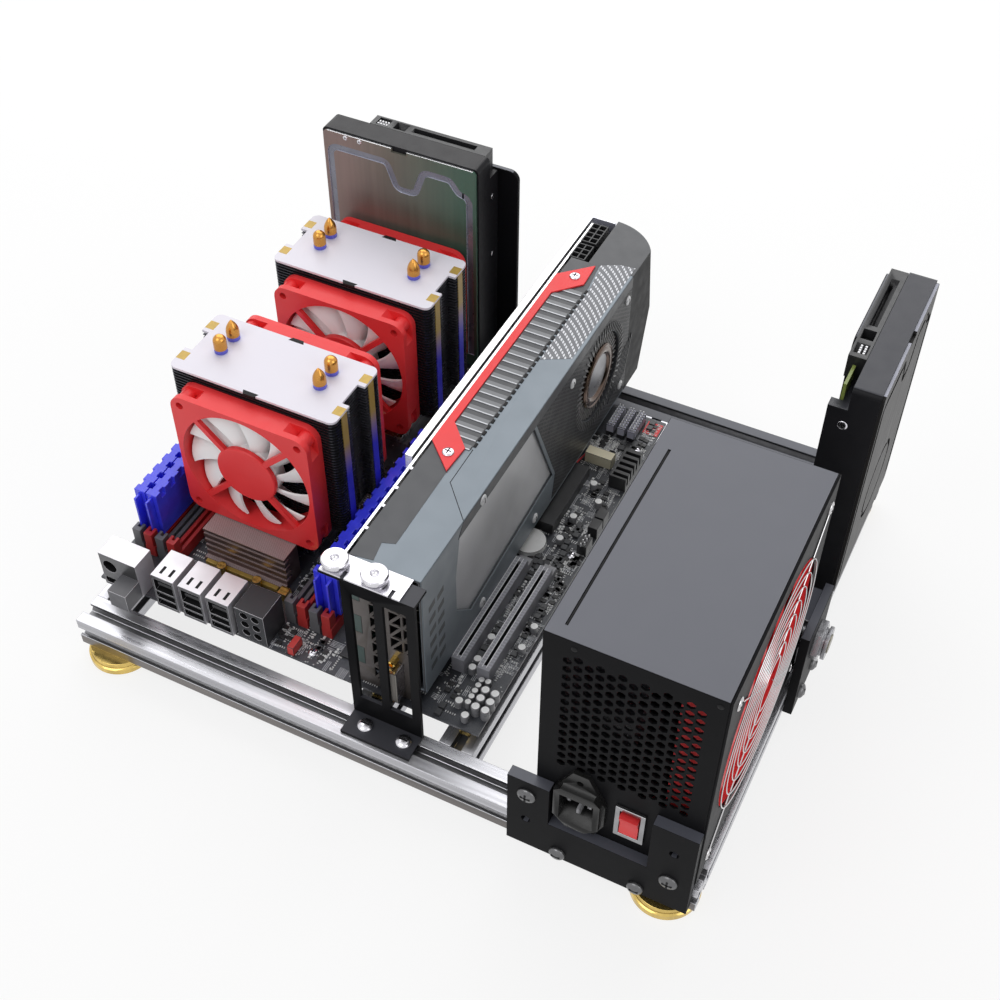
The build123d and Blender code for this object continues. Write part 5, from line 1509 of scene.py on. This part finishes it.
def build_card():
    """Graphics card with its bracket, sockets and stand."""
    paint = surface("card_paint", colours().shroud, rough=0.38, metal=0.25, vary=0.06, grain=40.0,
                    bump=0.05, coat=0.15, coat_rough=0.3)
    white = surface("back_plate", (0.85, 0.85, 0.86), rough=0.22, metal=0.8, vary=0.03, grain=30.0)
    # Painted shade for the end cap's side faces
    shaded = surface("card_side", (0.013, 0.013, 0.014), rough=0.42, bump=0.08, spec=0.06)
    lilac = surface("tail_plate", (0.55, 0.56, 0.68), rough=0.3, metal=0.5, vary=0.04, grain=40.0)
    sink = surface("card_sink", (0.55, 0.53, 0.50), rough=0.35, metal=1.0, vary=0.08, grain=90.0)
    lattice = surface("lattice_grey", (0.105, 0.092, 0.086), rough=0.4, metal=0.4, grain=120.0)
    green = surface("socket_green", (0.010, 0.045, 0.036), rough=0.4)
    beige = dotted_finish("plug_face", (0.42, 0.39, 0.36), (0.50, 0.47, 0.44), (0.05, 0.045, 0.04), 900.0)
    cover = node_box("gpu_shroud")[1]
    tail = node_box("gpu_backplate")[1]
    flange = node_box("gpu_bracket")[1].z - 1.1
    ports = node_box("gpu_ports")[0]

    def inner(c, normal):
        return 1 if c.x < cover.x - SKIN and c.z < cover.z - SKIN else 0

    def tail_strip(c, normal):
        return 1 if c.x > tail.x - TAIL_PLATE[0] and c.y > tail.y - TAIL_PLATE[1] else 0

    def port(c, normal):
        if c.y > ports.y + PORTS_DEEP:
            return 0
        if c.x < ports.x + VIDEO_WIDE + 0.4:
            return 1
        return 2 if normal.y < -0.5 else 3
    dress("gpu_shroud", [paint, card_dark()], 0.5, inner, least=18.0)
    # The end cap's side faces take painted shade beside its dark top
    dress("gpu_end_cap", [card_dark(), shaded], 0.6, lambda c, n: 1 if n.z < 0.6 else 0, least=20.0)
    dress("gpu_board", [solder_mask(), white], 0.1, lambda c, n: 1 if c.z > cover.z - 1.2 else 0)
    dress("gpu_backplate", [white, lilac], 0.3, tail_strip)
    dress("gpu_heatsink", sink, 0.2)
    dress("gpu_window", window_finish("smoked_window"), 0.2)
    dress("gpu_trim", red_plastic(), 0.3)
    dress("gpu_ports", [dark_plastic(), green, beige, steel()], 0.2, port)
    dress("gpu_bracket", [lattice, steel()], 0.12, lambda c, n: 1 if c.z > flange else 0, least=8.0)
    dress("gpu_rotor", blower_grey(), 0.2)
    # Level faces of the stand take the dim level coat: painted light
    dress("gpu_stand", [black_sheet(), painted_dim_light_black()], pick=level)
    post = turned([(0, 0), (2.2, 0), (2.2, 5.0), (1.4, 5.4), (1.4, 3.0), (0, 3.0)], 6)
    spread("plug_posts", post, gold(), "brass", PLUG_POSTS, FRONT)


# Panels on the card's cover, as outlines over its top (x, y) and over its side (y, z)

TOP_LIDS = (
    ((-18.4, -127.9), (-5.8, -126.0), (-7.8, -114.3), (-1.2, -112.0), (-1.9, -57.2), (-18.4, -41.5)),
    ((-18.4, -41.3), (-1.4, -37.6), (2.0, -37.6), (2.4, 110.0), (-0.2, 132.0), (-18.4, 132.0)))
SIDE_STRIP = ((-90.0, 132.2), (131.9, 132.2), (131.9, 139.5), (-84.0, 139.5))
SIDE_MESH = ((1.0, 132.1), (28.6, 70.4), (25.0, 52.0), (131.9, 52.0), (131.9, 132.1))
DOTTED_PATCH = ((3.9, 41.5), (19.3, 50.1), (19.7, 139.3), (10.3, 138.1), (0.4, 132.7), (3.2, 112.0))
TOP_SEAM = ((2.8, -37.4), (3.1, -63.3), (21.1, -83.5))
INTAKE_RADIUS = 28.2
PANEL_SINK = 0.05
PANEL_RISE = 0.15
TOP_RIBS = 21
RIB_FIRST = -37.2
RIB_STEP = (0, 7.0, 0)
RIB_LEFT = -14.2
RIB_RIGHT = 1.4
TOP_LINKS = 29
LINK_FIRST = -34.0
LINK_STEP = (0, 5.0, 0)


def build_card_panels():
    """Thin panels, ribs, dotted patch and seam on the card's cover."""
    corner = node_box("gpu_shroud")[1]
    top, face = corner.z, corner.x
    panels = Form()
    for outline in TOP_LIDS:
        panels.prism([outline], "z", top - PANEL_SINK, top + PANEL_RISE)
    panels.prism([SIDE_STRIP], "x", face - PANEL_SINK, face + PANEL_RISE)
    pivot = pivot_of("gpu_rotor")
    intake = ring(pivot.y, pivot.z, INTAKE_RADIUS, 64)
    panels.prism([SIDE_MESH, intake], "x", face - PANEL_SINK, face + PANEL_RISE, 1)
    piece("card_panels", panels.mesh("card_panels", [card_dark(), mesh_finish("fine_mesh")]), "dark_plastic")
    light = surface("rib_light", (0.46, 0.47, 0.50), rough=0.35, metal=0.3, vary=0.10, grain=120.0)
    grey = surface("rib_grey", (0.15, 0.155, 0.165), rough=0.4, metal=0.1, vary=0.10, grain=120.0)
    rib = Form().box((RIB_LEFT, -1.7, 0), (RIB_RIGHT, 1.7, 0.35))
    row("card_ribs", rib, grey, "steel", TOP_RIBS, (0, RIB_FIRST, top + 0.1), RIB_STEP)
    # A pale strip along one edge of each rib: a painted highlight
    edge = Form().box((RIB_LEFT, -1.75, 0), (RIB_RIGHT, -1.0, 0.3))
    row("card_rib_edges", edge, light, "steel", TOP_RIBS, (0, RIB_FIRST, top + 0.2), RIB_STEP)
    link = Form().box((1.9, -1.6, 0), (3.5, 1.6, 0.4)).soften(0.1, 1)
    row("card_links", link, shadow_finish(), "dark_plastic", TOP_LINKS, (0, LINK_FIRST, top + 0.05),
        LINK_STEP)
    dots = Form().prism([DOTTED_PATCH], "z", top - PANEL_SINK, top + 0.12)
    speckle = bent_rows("dotted_panel", (0.10, 0.105, 0.12), (0.14, 0.145, 0.16), (0.70, 0.71, 0.75))
    piece("card_dotted_patch", dots.mesh("card_dotted_patch", [speckle]), "dark_plastic")
    seam = Form().tube([(x, y, top) for x, y in TOP_SEAM], 0.22, 6)
    piece("card_seam", seam.mesh("card_seam", [shadow_finish()]), "dark_plastic")


# Side and edges of the card's cover

INTAKE_BARS = 56
SIDE_SLATS = 8
SLAT_FIRST = (106.0, 60.0)
SLAT_STEP = (3.2, 0.9)
VENT_FIRST = (-122.0, 62.0)
VENT_STEP = (9.0, 9.5)
VENT_COLUMNS = 2
VENT_ROWS = 6


def build_card_side():
    """Bars round the intake, slats and vents of the card's cover."""
    face = node_box("gpu_shroud")[1].x
    pivot = pivot_of("gpu_rotor")
    bar = Form().box((-0.1, INTAKE_RADIUS + 0.2, -0.45), (0.6, INTAKE_RADIUS + 5.8, 0.45)).soften(0.1, 1)
    centre = (face + 0.1, pivot.y, pivot.z)
    wheel("card_intake_bars", bar, blower_grey(), "dark_plastic", INTAKE_BARS, centre, "x")
    (y, z), (dy, dz) = SLAT_FIRST, SLAT_STEP
    slat = Form().prism([[(-0.5, 0.0), (0.5, 0.0), (9.5, 26.0), (8.5, 26.0)]], "x", -0.1, 0.35)
    spread("card_side_slats", slat, mid_plastic(), "dark_plastic",
           [(face + 0.1, y + dy * k, z + dz * k) for k in range(SIDE_SLATS)])
    (y, z), (dy, dz) = VENT_FIRST, VENT_STEP
    vent = Form().prism([[(0.0, 0.0), (6.5, 1.6), (6.5, 5.6), (0.0, 4.0)]], "x", -0.2, 0.03)
    spread("card_side_vents", vent, card_dark(), "dark_plastic",
           [(face + 0.02, y + dy * j, z + dz * i) for i in range(VENT_ROWS) for j in range(VENT_COLUMNS)])


# Blower

VANE_INNER = 19.8
VANE_OUTER = 27.6
COLLAR_OUTER = 20.4
COLLAR_INNER = 13.5


def blower_spot():
    """Middle of the blower's hub face, and how far the cover stands above it."""
    axle = node_box("gpu_rotor")[1].x
    pivot = pivot_of("gpu_rotor")
    return (axle, pivot.y, pivot.z), node_box("gpu_shroud")[1].x - axle


def build_vane_tips():
    """Tips of the blower's vanes."""
    spot, rise = blower_spot()
    outline = [(-0.4, VANE_INNER), (0.4, VANE_INNER), (2.1, VANE_OUTER), (1.2, VANE_OUTER)]
    tip = Form().prism([outline], "x", -3.0, rise - 1.2).soften(0.1, 1)
    wheel("blower_vane_tips", tip, vane_edge(), "dark_plastic", sizes().vane_count, spot, "x",
          body_of("gpu_rotor"))


def build_blower_hub():
    """Collar and hub disc of the card's blower."""
    spot, rise = blower_spot()
    body = body_of("gpu_rotor")
    bronze = surface("hub_bronze", (0.115, 0.080, 0.064), rough=0.24, metal=1.0, vary=0.25)
    disc = surface("hub_disc", (0.30, 0.30, 0.315), rough=0.30, metal=1.0, vary=0.35, grain=45.0)
    inner, outer = COLLAR_INNER, COLLAR_OUTER
    rim = [(inner, -0.3), (outer, -0.3), (outer, rise - 0.6), (outer - 0.8, rise + 0.2),
           (outer - 2.0, rise - 0.2), (outer - 3.2, rise + 0.4), (inner + 1.5, rise),
           (inner, rise - 1.4), (inner, -0.3)]
    collar = Form().lathe(rim, spot, "x", 56)
    piece("blower_collar", collar.mesh("blower_collar", [bronze]), "dark_plastic", body)
    dish = [(0, -0.3), (inner + 0.1, -0.3), (inner + 0.1, rise - 1.2), (9.0, rise - 1.6), (0, rise - 1.0)]
    badge = Form().lathe(dish, spot, "x", 48)
    piece("blower_badge", badge.mesh("blower_badge", [disc]), "dark_plastic", body)


# Screws of the card and the rails

MESH_BOLTS = ((-63.0, 135.6), (47.4, 124.5), (125.4, 126.8), (123.7, 61.1))
COVER_BOLTS = ((1.7, 58.0), (-64.6, 55.0))
TRIM_SCREWS = ((-7.3, -45.8), (-8.6, 115.2))
EDGE_TABS = (-63.0, -78.4, -92.0, -108.8)
EDGE_TAB_X = -19.8
RAIL_SCREW = (4.4, 2.9)
STAND_SCREWS = ((-5.0, -149.0, 30.0), (18.0, -149.0, 30.0))
BRACKET_RAIL_SCREWS = ((114.6, -165.0, 18.0), (157.0, -165.0, 18.0))
PLATE_RAIL_SCREWS = ((192.0, -15.0, 18.0), (192.0, 6.0, 18.0))


def build_card_fasteners():
    """Bolts, trim screws and edge tabs of the card."""
    corner = node_box("gpu_shroud")[1]
    top, face = corner.z, corner.x
    bolts = [(face + PANEL_RISE, *place) for place in MESH_BOLTS] + [(face, *place) for place in COVER_BOLTS]
    screws("card_bolts", bolts, RIGHT, 3.0, 1.3, marks_white(), False)
    trim = node_box("gpu_trim")[1].z
    screws("trim_screws", [(*place, trim) for place in TRIM_SCREWS], UP, 3.2, 1.3, screw_bright())
    tab = Form().box((-1.4, -1.0, 0), (1.4, 1.0, 3.9)).soften(0.3, 1)
    tabs = [(EDGE_TAB_X, y, top - 4.0) for y in EDGE_TABS]
    spread("card_edge_tabs", tab, screw_bright(), "steel", tabs)


def build_stand_screws():
    """Thumb screws on the card and dome screws in the rails."""
    lo, hi = node_box("thumb_screws")
    r = (hi.y - lo.y) / 2
    y = (hi.y + lo.y) / 2
    spots = [(lo.x + r, y, lo.z), (hi.x - r, y, lo.z)]
    profile = [(0, 0), (r - 1.6, 0), (r - 1.2, 0.4), (r - 1.2, 1.6), (r - 0.4, 2.0), (r, 2.5), (r, 4.2),
               (r - 0.7, 5.0), (2.4, 5.0), (2.0, 4.6), (2.0, 3.4), (0, 3.2)]
    spread("thumb_screws_turned", turned(profile, 48), screw_bright(), "steel", spots,
           stands_for=["thumb_screws"])
    head = screws("stand_screws", STAND_SCREWS, UP, *RAIL_SCREW, screw_bright(), False)
    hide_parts("rail_screws")
    screws("bracket_rail_screws", BRACKET_RAIL_SCREWS, FRONT, *RAIL_SCREW, screw_grey(), False)
    screws("plate_rail_screws", PLATE_RAIL_SCREWS, RIGHT, *RAIL_SCREW, screw_grey(), False)


# Power supply

INLET_RISE = 19.0
INLET_DEEP = 19.0
INLET_PINS = ((0, -4.5), (-5.5, 3.5), (5.5, 3.5))
BRACKET_SCREWS = ((96.7, -165.0, 59.3), (172.8, -165.0, 36.6))
CASE_SCREWS = ((113.9, -159.0, 179.1), (180.0, -159.0, 179.2))
GUARD_INNER = 14.0
GUARD_OUTER = 63.0
GUARD_REACH = 86.0
GUARD_BOLTS = 62.2
RING_STEPS = 72


def build_supply():
    """Power supply with its inlet, switch and bracket."""
    top = node_box("psu_case")[1].z
    lo, hi = node_box("psu_inlet")
    inlet_x, inlet_z = (lo.x + hi.x) / 2, lo.z + INLET_RISE

    # Level top faces of the case take painted light, the level faces in the seam below the top painted shade
    def case_look(c, normal):
        if normal.z > 0.9 and c.z > top - 0.05:
            return 2
        return 1 if normal.z > 0.5 and top - 0.9 < c.z < top - SKIN else 0

    def inlet_look(c, normal):
        x, z = c.x - inlet_x, c.z - inlet_z
        pin = any(abs(x - a) < 1.1 and abs(z - b) < 2.1 for a, b in INLET_PINS)
        return 1 if pin and c.y < lo.y + INLET_DEEP else 0
    inlet_black = surface("inlet_black", (0.012, 0.012, 0.012), rough=0.30, vary=0.2, grain=90.0, spec=0.3)
    chrome = surface("bezel_chrome", (0.30, 0.30, 0.31), rough=0.2, metal=1.0, vary=0.4, grain=130.0)
    dress("psu_case", [black_sheet(), shadow_finish(), painted_light_black()], pick=case_look, least=40.0)
    dress("psu_cover", black_sheet(), least=10.0)
    dress("psu_fan_frame", red_plastic())
    dress("psu_board", solder_mask(), 0.3)
    dress("psu_inlet", [inlet_black, pale_plastic()], 0.0, inlet_look)
    dress("psu_switch_bezel", chrome)
    dress("psu_rocker", red_plastic(), 0.5)
    # Level faces of the bracket take painted light
    dress("psu_bracket", [black_sheet(), painted_light_black()], 0.6, level)
    screws("bracket_screws", BRACKET_SCREWS, FRONT, 4.9, 2.6, screw_grey())
    screws("case_screws", CASE_SCREWS, FRONT, 1.5, 0.4, shadow_finish())


def build_guard():
    """Wire guard of the supply's fan with its bolts."""
    lo, hi = node_box("psu_grille")
    x, cy, cz = lo.x, (lo.y + hi.y) / 2, (lo.z + hi.z) / 2
    bright = surface("guard_chrome", (0.58, 0.57, 0.58), rough=0.2, metal=1.0, vary=0.06, bump=0.02)
    guard = Form()
    count = sizes().ring_count
    for i in range(count):
        radius = GUARD_INNER + (GUARD_OUTER - GUARD_INNER) * i / (count - 1)
        guard.tube([(x + 1.1, y, z) for y, z in ring(cy, cz, radius, RING_STEPS)], 0.36, 8, closed=True)
    for k in range(4):
        t = math.radians(45 + 90 * k)
        ends = (GUARD_INNER - 0.5, GUARD_REACH)
        guard.tube([(x + 0.5, cy + r * math.cos(t), cz + r * math.sin(t)) for r in ends], 0.45, 8)
    piece("psu_guard", guard.mesh("psu_guard", [bright]), "steel", stands_for=["psu_grille"])
    corners = [(x + 0.2, cy + i * GUARD_BOLTS, cz + j * GUARD_BOLTS) for i, j in SIGNS]
    screws("guard_bolts", corners, RIGHT, 3.4, 1.4, bright)


# Hard drives

CHANNEL = (102.15, 102.95)
CHANNEL_END = -67.4
SOCKET_BASE = 189.4
PLUG_LEFT = -144.0
PLUG_RIGHT = 46.9
PIN_FIRST = (27.5, 19.0)
PIN_STEP = (1.85, 2.4)
PIN_BASE = 196.5
LEFT_DRIVE = (-167.0, 102.0)
RIGHT_DRIVE = (191.3, 24.0)
COVER_SCREWS = ((-151.0, 102.0, 200.6), (-141.6, 102.0, 200.6))
SIDE_HOLES = ((-65.4, 121.4, 175.3), (-65.4, 121.4, 134.1))
SIDE_SCREW = ((174.5, 24.0, 179.3),)


def build_drives():
    """Hard drives with sunk channels in their covers and sockets at the top."""
    cast = surface("drive_cast", (0.012, 0.012, 0.014), rough=0.40, vary=0.10, bump=0.12, spec=0.10)
    # Lighter copy of the cast for level faces: painted light
    dim = surface("drive_cast_level", (0.020, 0.019, 0.021), rough=0.40, vary=0.10, bump=0.10, spec=0.2)
    rim = surface("cover_rim", (0.62, 0.62, 0.64), rough=0.25, metal=0.9, vary=0.06, grain=90.0)
    sunk = surface("cover_channel", (0.20, 0.205, 0.245), rough=0.3, metal=0.4, vary=0.25, grain=90.0)
    # Bright walls of the sunk channel: painted highlights
    lip = surface("channel_lip", (0.70, 0.71, 0.82), rough=0.3, metal=0.4, vary=0.10, grain=90.0)
    shade = surface("cover_shaded", (0.016, 0.015, 0.015), rough=0.42, vary=0.15, grain=300.0,
                    stretch=(1, 1, 0.05), spec=0.14)
    green = board_finish("drive_board", (0.17, 0.21, 0.05))
    lo, hi = node_box("hdd_covers")

    # Picks the cover's top, the channel's floor, its walls with painted highlights and the right cover's
    # sides with painted shade
    def cover_look(c, normal):
        left = c.x < 0
        if c.z > hi.z - SKIN:
            return 1 if left else 2
        within = lo.x + 2.0 < c.x < CHANNEL_END and c.z < hi.z - 3.0
        if left and within and CHANNEL[0] < c.y < CHANNEL[1]:
            return 2 if normal.y < -0.5 else 3
        return 0 if left else 4

    def socket_look(c, normal):
        socket = c.x > PLUG_LEFT if c.x < 0 else c.y > PLUG_RIGHT
        return 1 if socket and c.z > SOCKET_BASE else 0
    # Level faces of the bodies and brackets take lighter coats: painted light
    dress("hdd_left_body", [cast, dim], 0.6, level, least=10.0)
    dress("hdd_right_body", [cast, painted_dim_light_black()], 0.6, level, least=10.0)
    dress("hdd_covers", [cover_finish("drive_cover"), rim, sunk, lip, shade], 0.0, cover_look)
    dress("hdd_boards", [green, dark_plastic()], 0.0, socket_look)
    dress("hdd_brackets", [black_sheet(), painted_light_black()], 0.5, level)
    pins = []
    for i in range(4):
        for j in range(2):
            a, b = PIN_FIRST[0] + PIN_STEP[0] * i, PIN_FIRST[1] + PIN_STEP[1] * j
            pins.append((LEFT_DRIVE[0] + a, LEFT_DRIVE[1] + b, PIN_BASE))
            pins.append((RIGHT_DRIVE[0] - b, RIGHT_DRIVE[1] + a, PIN_BASE))
    spread("drive_pins", Form().box((-0.5, -0.5, 0), (0.5, 0.5, 6.8)), marks_white(), "can", pins)
    screws("drive_cover_screws", COVER_SCREWS, FRONT, 1.5, 0.5, screw_bright())
    screws("drive_side_holes", SIDE_HOLES, RIGHT, 1.9, 0.4, screw_bright())
    screws("drive_side_screw", SIDE_SCREW, FRONT, 2.6, 0.6, screw_bright())


def build_button():
    """Power button on its plate."""
    chrome = surface("button_chrome", (0.27, 0.27, 0.285), rough=0.22, metal=1.0, vary=0.45, grain=110.0,
                     bump=0.02)
    cap = surface("button_cap", (0.20, 0.185, 0.145), rough=0.26, metal=1.0, vary=0.30, grain=90.0,
                  bump=0.02)
    # Level faces of the plate take painted light
    dress("switch_plate", [black_sheet(), painted_light_black()], 0.5, level)
    dress("power_button_body", chrome, 0.3)
    dress("power_button_cap", cap, 0.3)
    dress("power_button_nut", chrome, 0.3)


# Stage

CAMERA_PLACE = (0.25036, -0.50970, 0.67577)
CAMERA_AZIMUTH = 26.139
CAMERA_ELEVATION = 47.113
CAMERA_ROLL = 0.380
CAMERA_LENS = 52.495
CAMERA_SENSOR = 36.0
CAMERA_REACH = 20.0
FLOOR_HALF = 6.0
FLOOR_PALE = (0.86, 0.86, 0.86, 1.0)
FLOOR_ROUGH = 0.7
FLOOR_GLOW = 0.8
SKY_LIGHT = 0.40
WHITE = (1.0, 1.0, 1.0, 1.0)
LAMP_AIM = (0.0, 0.0, 0.08)

# Lamps: place, size and power
LAMPS = {
    "sky_lamp": ((-0.45, 0.92, 1.10), 2.0, 21.0),
    "front_lamp": ((-0.4, -1.1, 1.4), 1.0, 7.0),
    "side_lamp": ((1.3, -0.3, 0.8), 0.9, 4.0),
}


def seen_rays(nodes, links):
    """One for rays from the camera, from gloss and through clear pieces, else nothing."""
    path = nodes.new("ShaderNodeLightPath")
    found = path.outputs["Is Camera Ray"]
    for name in ("Is Glossy Ray", "Is Transmission Ray"):
        most = nodes.new("ShaderNodeMath")
        most.operation = "MAXIMUM"
        links.new(found, most.inputs[0])
        links.new(path.outputs[name], most.inputs[1])
        found = most.outputs[0]
    return found


def build_camera():
    """Camera where the photograph was taken from."""
    data = bpy.data.cameras.new("photo_camera")
    data.lens = CAMERA_LENS
    data.sensor_width = CAMERA_SENSOR
    data.clip_end = CAMERA_REACH
    camera = put("photo_camera", data)
    a, e, r = (math.radians(angle) for angle in (CAMERA_AZIMUTH, CAMERA_ELEVATION, CAMERA_ROLL))
    back = Vector((math.sin(a) * math.cos(e), -math.cos(a) * math.cos(e), math.sin(e)))
    right = Vector((math.cos(a), math.sin(a), 0))
    up = back.cross(right)
    side = right * math.cos(r) + up * math.sin(r)
    top = up * math.cos(r) - right * math.sin(r)
    turn = Matrix((side, top, back)).transposed().to_4x4()
    camera.matrix_world = Matrix.Translation(CAMERA_PLACE) @ turn
    bpy.context.scene.camera = camera


def build_floor():
    """Pale floor that shows as white and takes soft shadows."""
    s = FLOOR_HALF
    mesh = bpy.data.meshes.new("floor")
    mesh.from_pydata([(-s, -s, 0), (s, -s, 0), (s, s, 0), (-s, s, 0)], [], [(0, 1, 2, 3)])
    floor = put("floor", mesh)
    pale = bpy.data.materials.new("pale_floor")
    pale.use_nodes = True
    nodes, links = pale.node_tree.nodes, pale.node_tree.links
    shader = nodes["Principled BSDF"]
    shader.inputs["Base Color"].default_value = FLOOR_PALE
    shader.inputs["Roughness"].default_value = FLOOR_ROUGH
    shine = nodes.new("ShaderNodeEmission")
    mix = nodes.new("ShaderNodeMixShader")
    share = nodes.new("ShaderNodeMath")
    share.operation = "MULTIPLY"
    share.inputs[1].default_value = FLOOR_GLOW
    links.new(seen_rays(nodes, links), share.inputs[0])
    links.new(share.outputs[0], mix.inputs[0])
    links.new(shader.outputs[0], mix.inputs[1])
    links.new(shine.outputs[0], mix.inputs[2])
    links.new(mix.outputs[0], nodes["Material Output"].inputs["Surface"])
    mesh.materials.append(pale)


def build_world():
    """Soft light all round, with white behind what is seen."""
    world = bpy.data.worlds.new("studio")
    world.use_nodes = True
    nodes, links = world.node_tree.nodes, world.node_tree.links
    soft = nodes["Background"]
    white = nodes.new("ShaderNodeBackground")
    for node, strength in ((soft, SKY_LIGHT), (white, 1.0)):
        node.inputs["Color"].default_value = WHITE
        node.inputs["Strength"].default_value = strength
    mix = nodes.new("ShaderNodeMixShader")
    links.new(seen_rays(nodes, links), mix.inputs[0])
    links.new(soft.outputs[0], mix.inputs[1])
    links.new(white.outputs[0], mix.inputs[2])
    links.new(mix.outputs[0], nodes["World Output"].inputs["Surface"])
    bpy.context.scene.world = world


def build_lamps():
    """Area lamps aimed at the bench."""
    for name, (place, size, power) in LAMPS.items():
        data = bpy.data.lights.new(name, "AREA")
        data.size = size
        data.energy = power
        lamp = put(name, data)
        lamp.location = place
        lamp.rotation_euler = (Vector(LAMP_AIM) - Vector(place)).to_track_quat("-Z", "Y").to_euler()


# Operators

COOLER_BORE = 80.0
COOLER_HUB = 36.0
COOLER_CHORD = 20.0
COOLER_PITCH = 31.0
SUPPLY_BORE = 126.0
SUPPLY_HUB = 37.0
SUPPLY_CHORD = 34.0
SUPPLY_PITCH = 28.0
SUPPLY_BLADE = 1.6


class BENCH_OT_frame(bpy.types.Operator):
    """Rails, feet and spacers"""
    bl_idname = "bench.frame"
    bl_label = "Rail frame"

    def execute(self, context):
        build_frame()
        return {"FINISHED"}


class BENCH_OT_motherboard(bpy.types.Operator):
    """Motherboard and its parts"""
    bl_idname = "bench.motherboard"
    bl_label = "Motherboard"

    def execute(self, context):
        build_motherboard()
        build_regulator()
        build_slots()
        build_board_blocks()
        build_cans()
        return {"FINISHED"}


class BENCH_OT_ports(bpy.types.Operator):
    """Port blocks at the front edge"""
    bl_idname = "bench.ports"
    bl_label = "Ports"

    def execute(self, context):
        build_ports()
        return {"FINISHED"}


class BENCH_OT_memory(bpy.types.Operator):
    """Memory slots and modules"""
    bl_idname = "bench.memory"
    bl_label = "Memory"

    def execute(self, context):
        build_memory()
        return {"FINISHED"}


class BENCH_OT_coolers(bpy.types.Operator):
    """Both processor coolers with their fans"""
    bl_idname = "bench.coolers"
    bl_label = "Coolers"

    def execute(self, context):
        for name in ("front", "rear"):
            build_fins(name)
            build_pipes(name)
            build_fan_frames(name)
            for side in "ab":
                build_rotor(f"cooler_{name}_rotor_{side}", "y", COOLER_BORE, COOLER_HUB, sizes().blade_count,
                            COOLER_CHORD, COOLER_PITCH, white_plastic(), "white_plastic")
        return {"FINISHED"}


class BENCH_OT_card(bpy.types.Operator):
    """Graphics card, its stand and screws"""
    bl_idname = "bench.card"
    bl_label = "Graphics card"

    def execute(self, context):
        build_card()
        build_card_panels()
        build_card_side()
        build_vane_tips()
        build_card_fasteners()
        build_blower_hub()
        build_stand_screws()
        return {"FINISHED"}


class BENCH_OT_supply(bpy.types.Operator):
    """Power supply and its bracket"""
    bl_idname = "bench.supply"
    bl_label = "Power supply"

    def execute(self, context):
        build_supply()
        build_guard()
        build_rotor("psu_rotor", "x", SUPPLY_BORE, SUPPLY_HUB, sizes().supply_blades, SUPPLY_CHORD,
                    SUPPLY_PITCH, red_plastic(), "red_plastic", SUPPLY_BLADE)
        return {"FINISHED"}


class BENCH_OT_drives(bpy.types.Operator):
    """Hard drives and their brackets"""
    bl_idname = "bench.drives"
    bl_label = "Hard drives"

    def execute(self, context):
        build_drives()
        return {"FINISHED"}


class BENCH_OT_button(bpy.types.Operator):
    """Power button and its plate"""
    bl_idname = "bench.button"
    bl_label = "Power button"

    def execute(self, context):
        build_button()
        return {"FINISHED"}


class BENCH_OT_stage(bpy.types.Operator):
    """Camera, lamps, floor and world"""
    bl_idname = "bench.stage"
    bl_label = "Stage"

    def execute(self, context):
        bpy.context.scene.view_settings.view_transform = "Standard"
        build_camera()
        build_floor()
        build_world()
        build_lamps()
        return {"FINISHED"}


OPERATORS = (
    BENCH_OT_frame, BENCH_OT_motherboard, BENCH_OT_ports, BENCH_OT_memory, BENCH_OT_coolers, BENCH_OT_card,
    BENCH_OT_supply, BENCH_OT_drives, BENCH_OT_button, BENCH_OT_stage)


class BENCH_PT_panel(bpy.types.Panel):
    """Test bench pieces"""
    bl_idname = "BENCH_PT_panel"
    bl_label = "Test bench"
    bl_space_type = "VIEW_3D"
    bl_region_type = "UI"
    bl_category = "Test bench"

    def draw(self, context):
        for group in (context.scene.bench_sizes, context.scene.bench_colours):
            for key in group.bl_rna.properties.keys():
                if key not in ("rna_type", "name"):
                    self.layout.prop(group, key)
        for operator in OPERATORS:
            self.layout.operator(operator.bl_idname)


CLASSES = (BenchSizes, BenchColours, *OPERATORS, BENCH_PT_panel)


def register():
    for cls in CLASSES:
        bpy.utils.register_class(cls)
    bpy.types.Scene.bench_sizes = bpy.props.PointerProperty(type=BenchSizes)
    bpy.types.Scene.bench_colours = bpy.props.PointerProperty(type=BenchColours)


def unregister():
    del bpy.types.Scene.bench_colours
    del bpy.types.Scene.bench_sizes
    for cls in reversed(CLASSES):
        bpy.utils.unregister_class(cls)


def main():
    register()
    for operator in OPERATORS:
        group, name = operator.bl_idname.split(".")
        getattr(getattr(bpy.ops, group), name)()


if __name__ == "__main__":
    main()
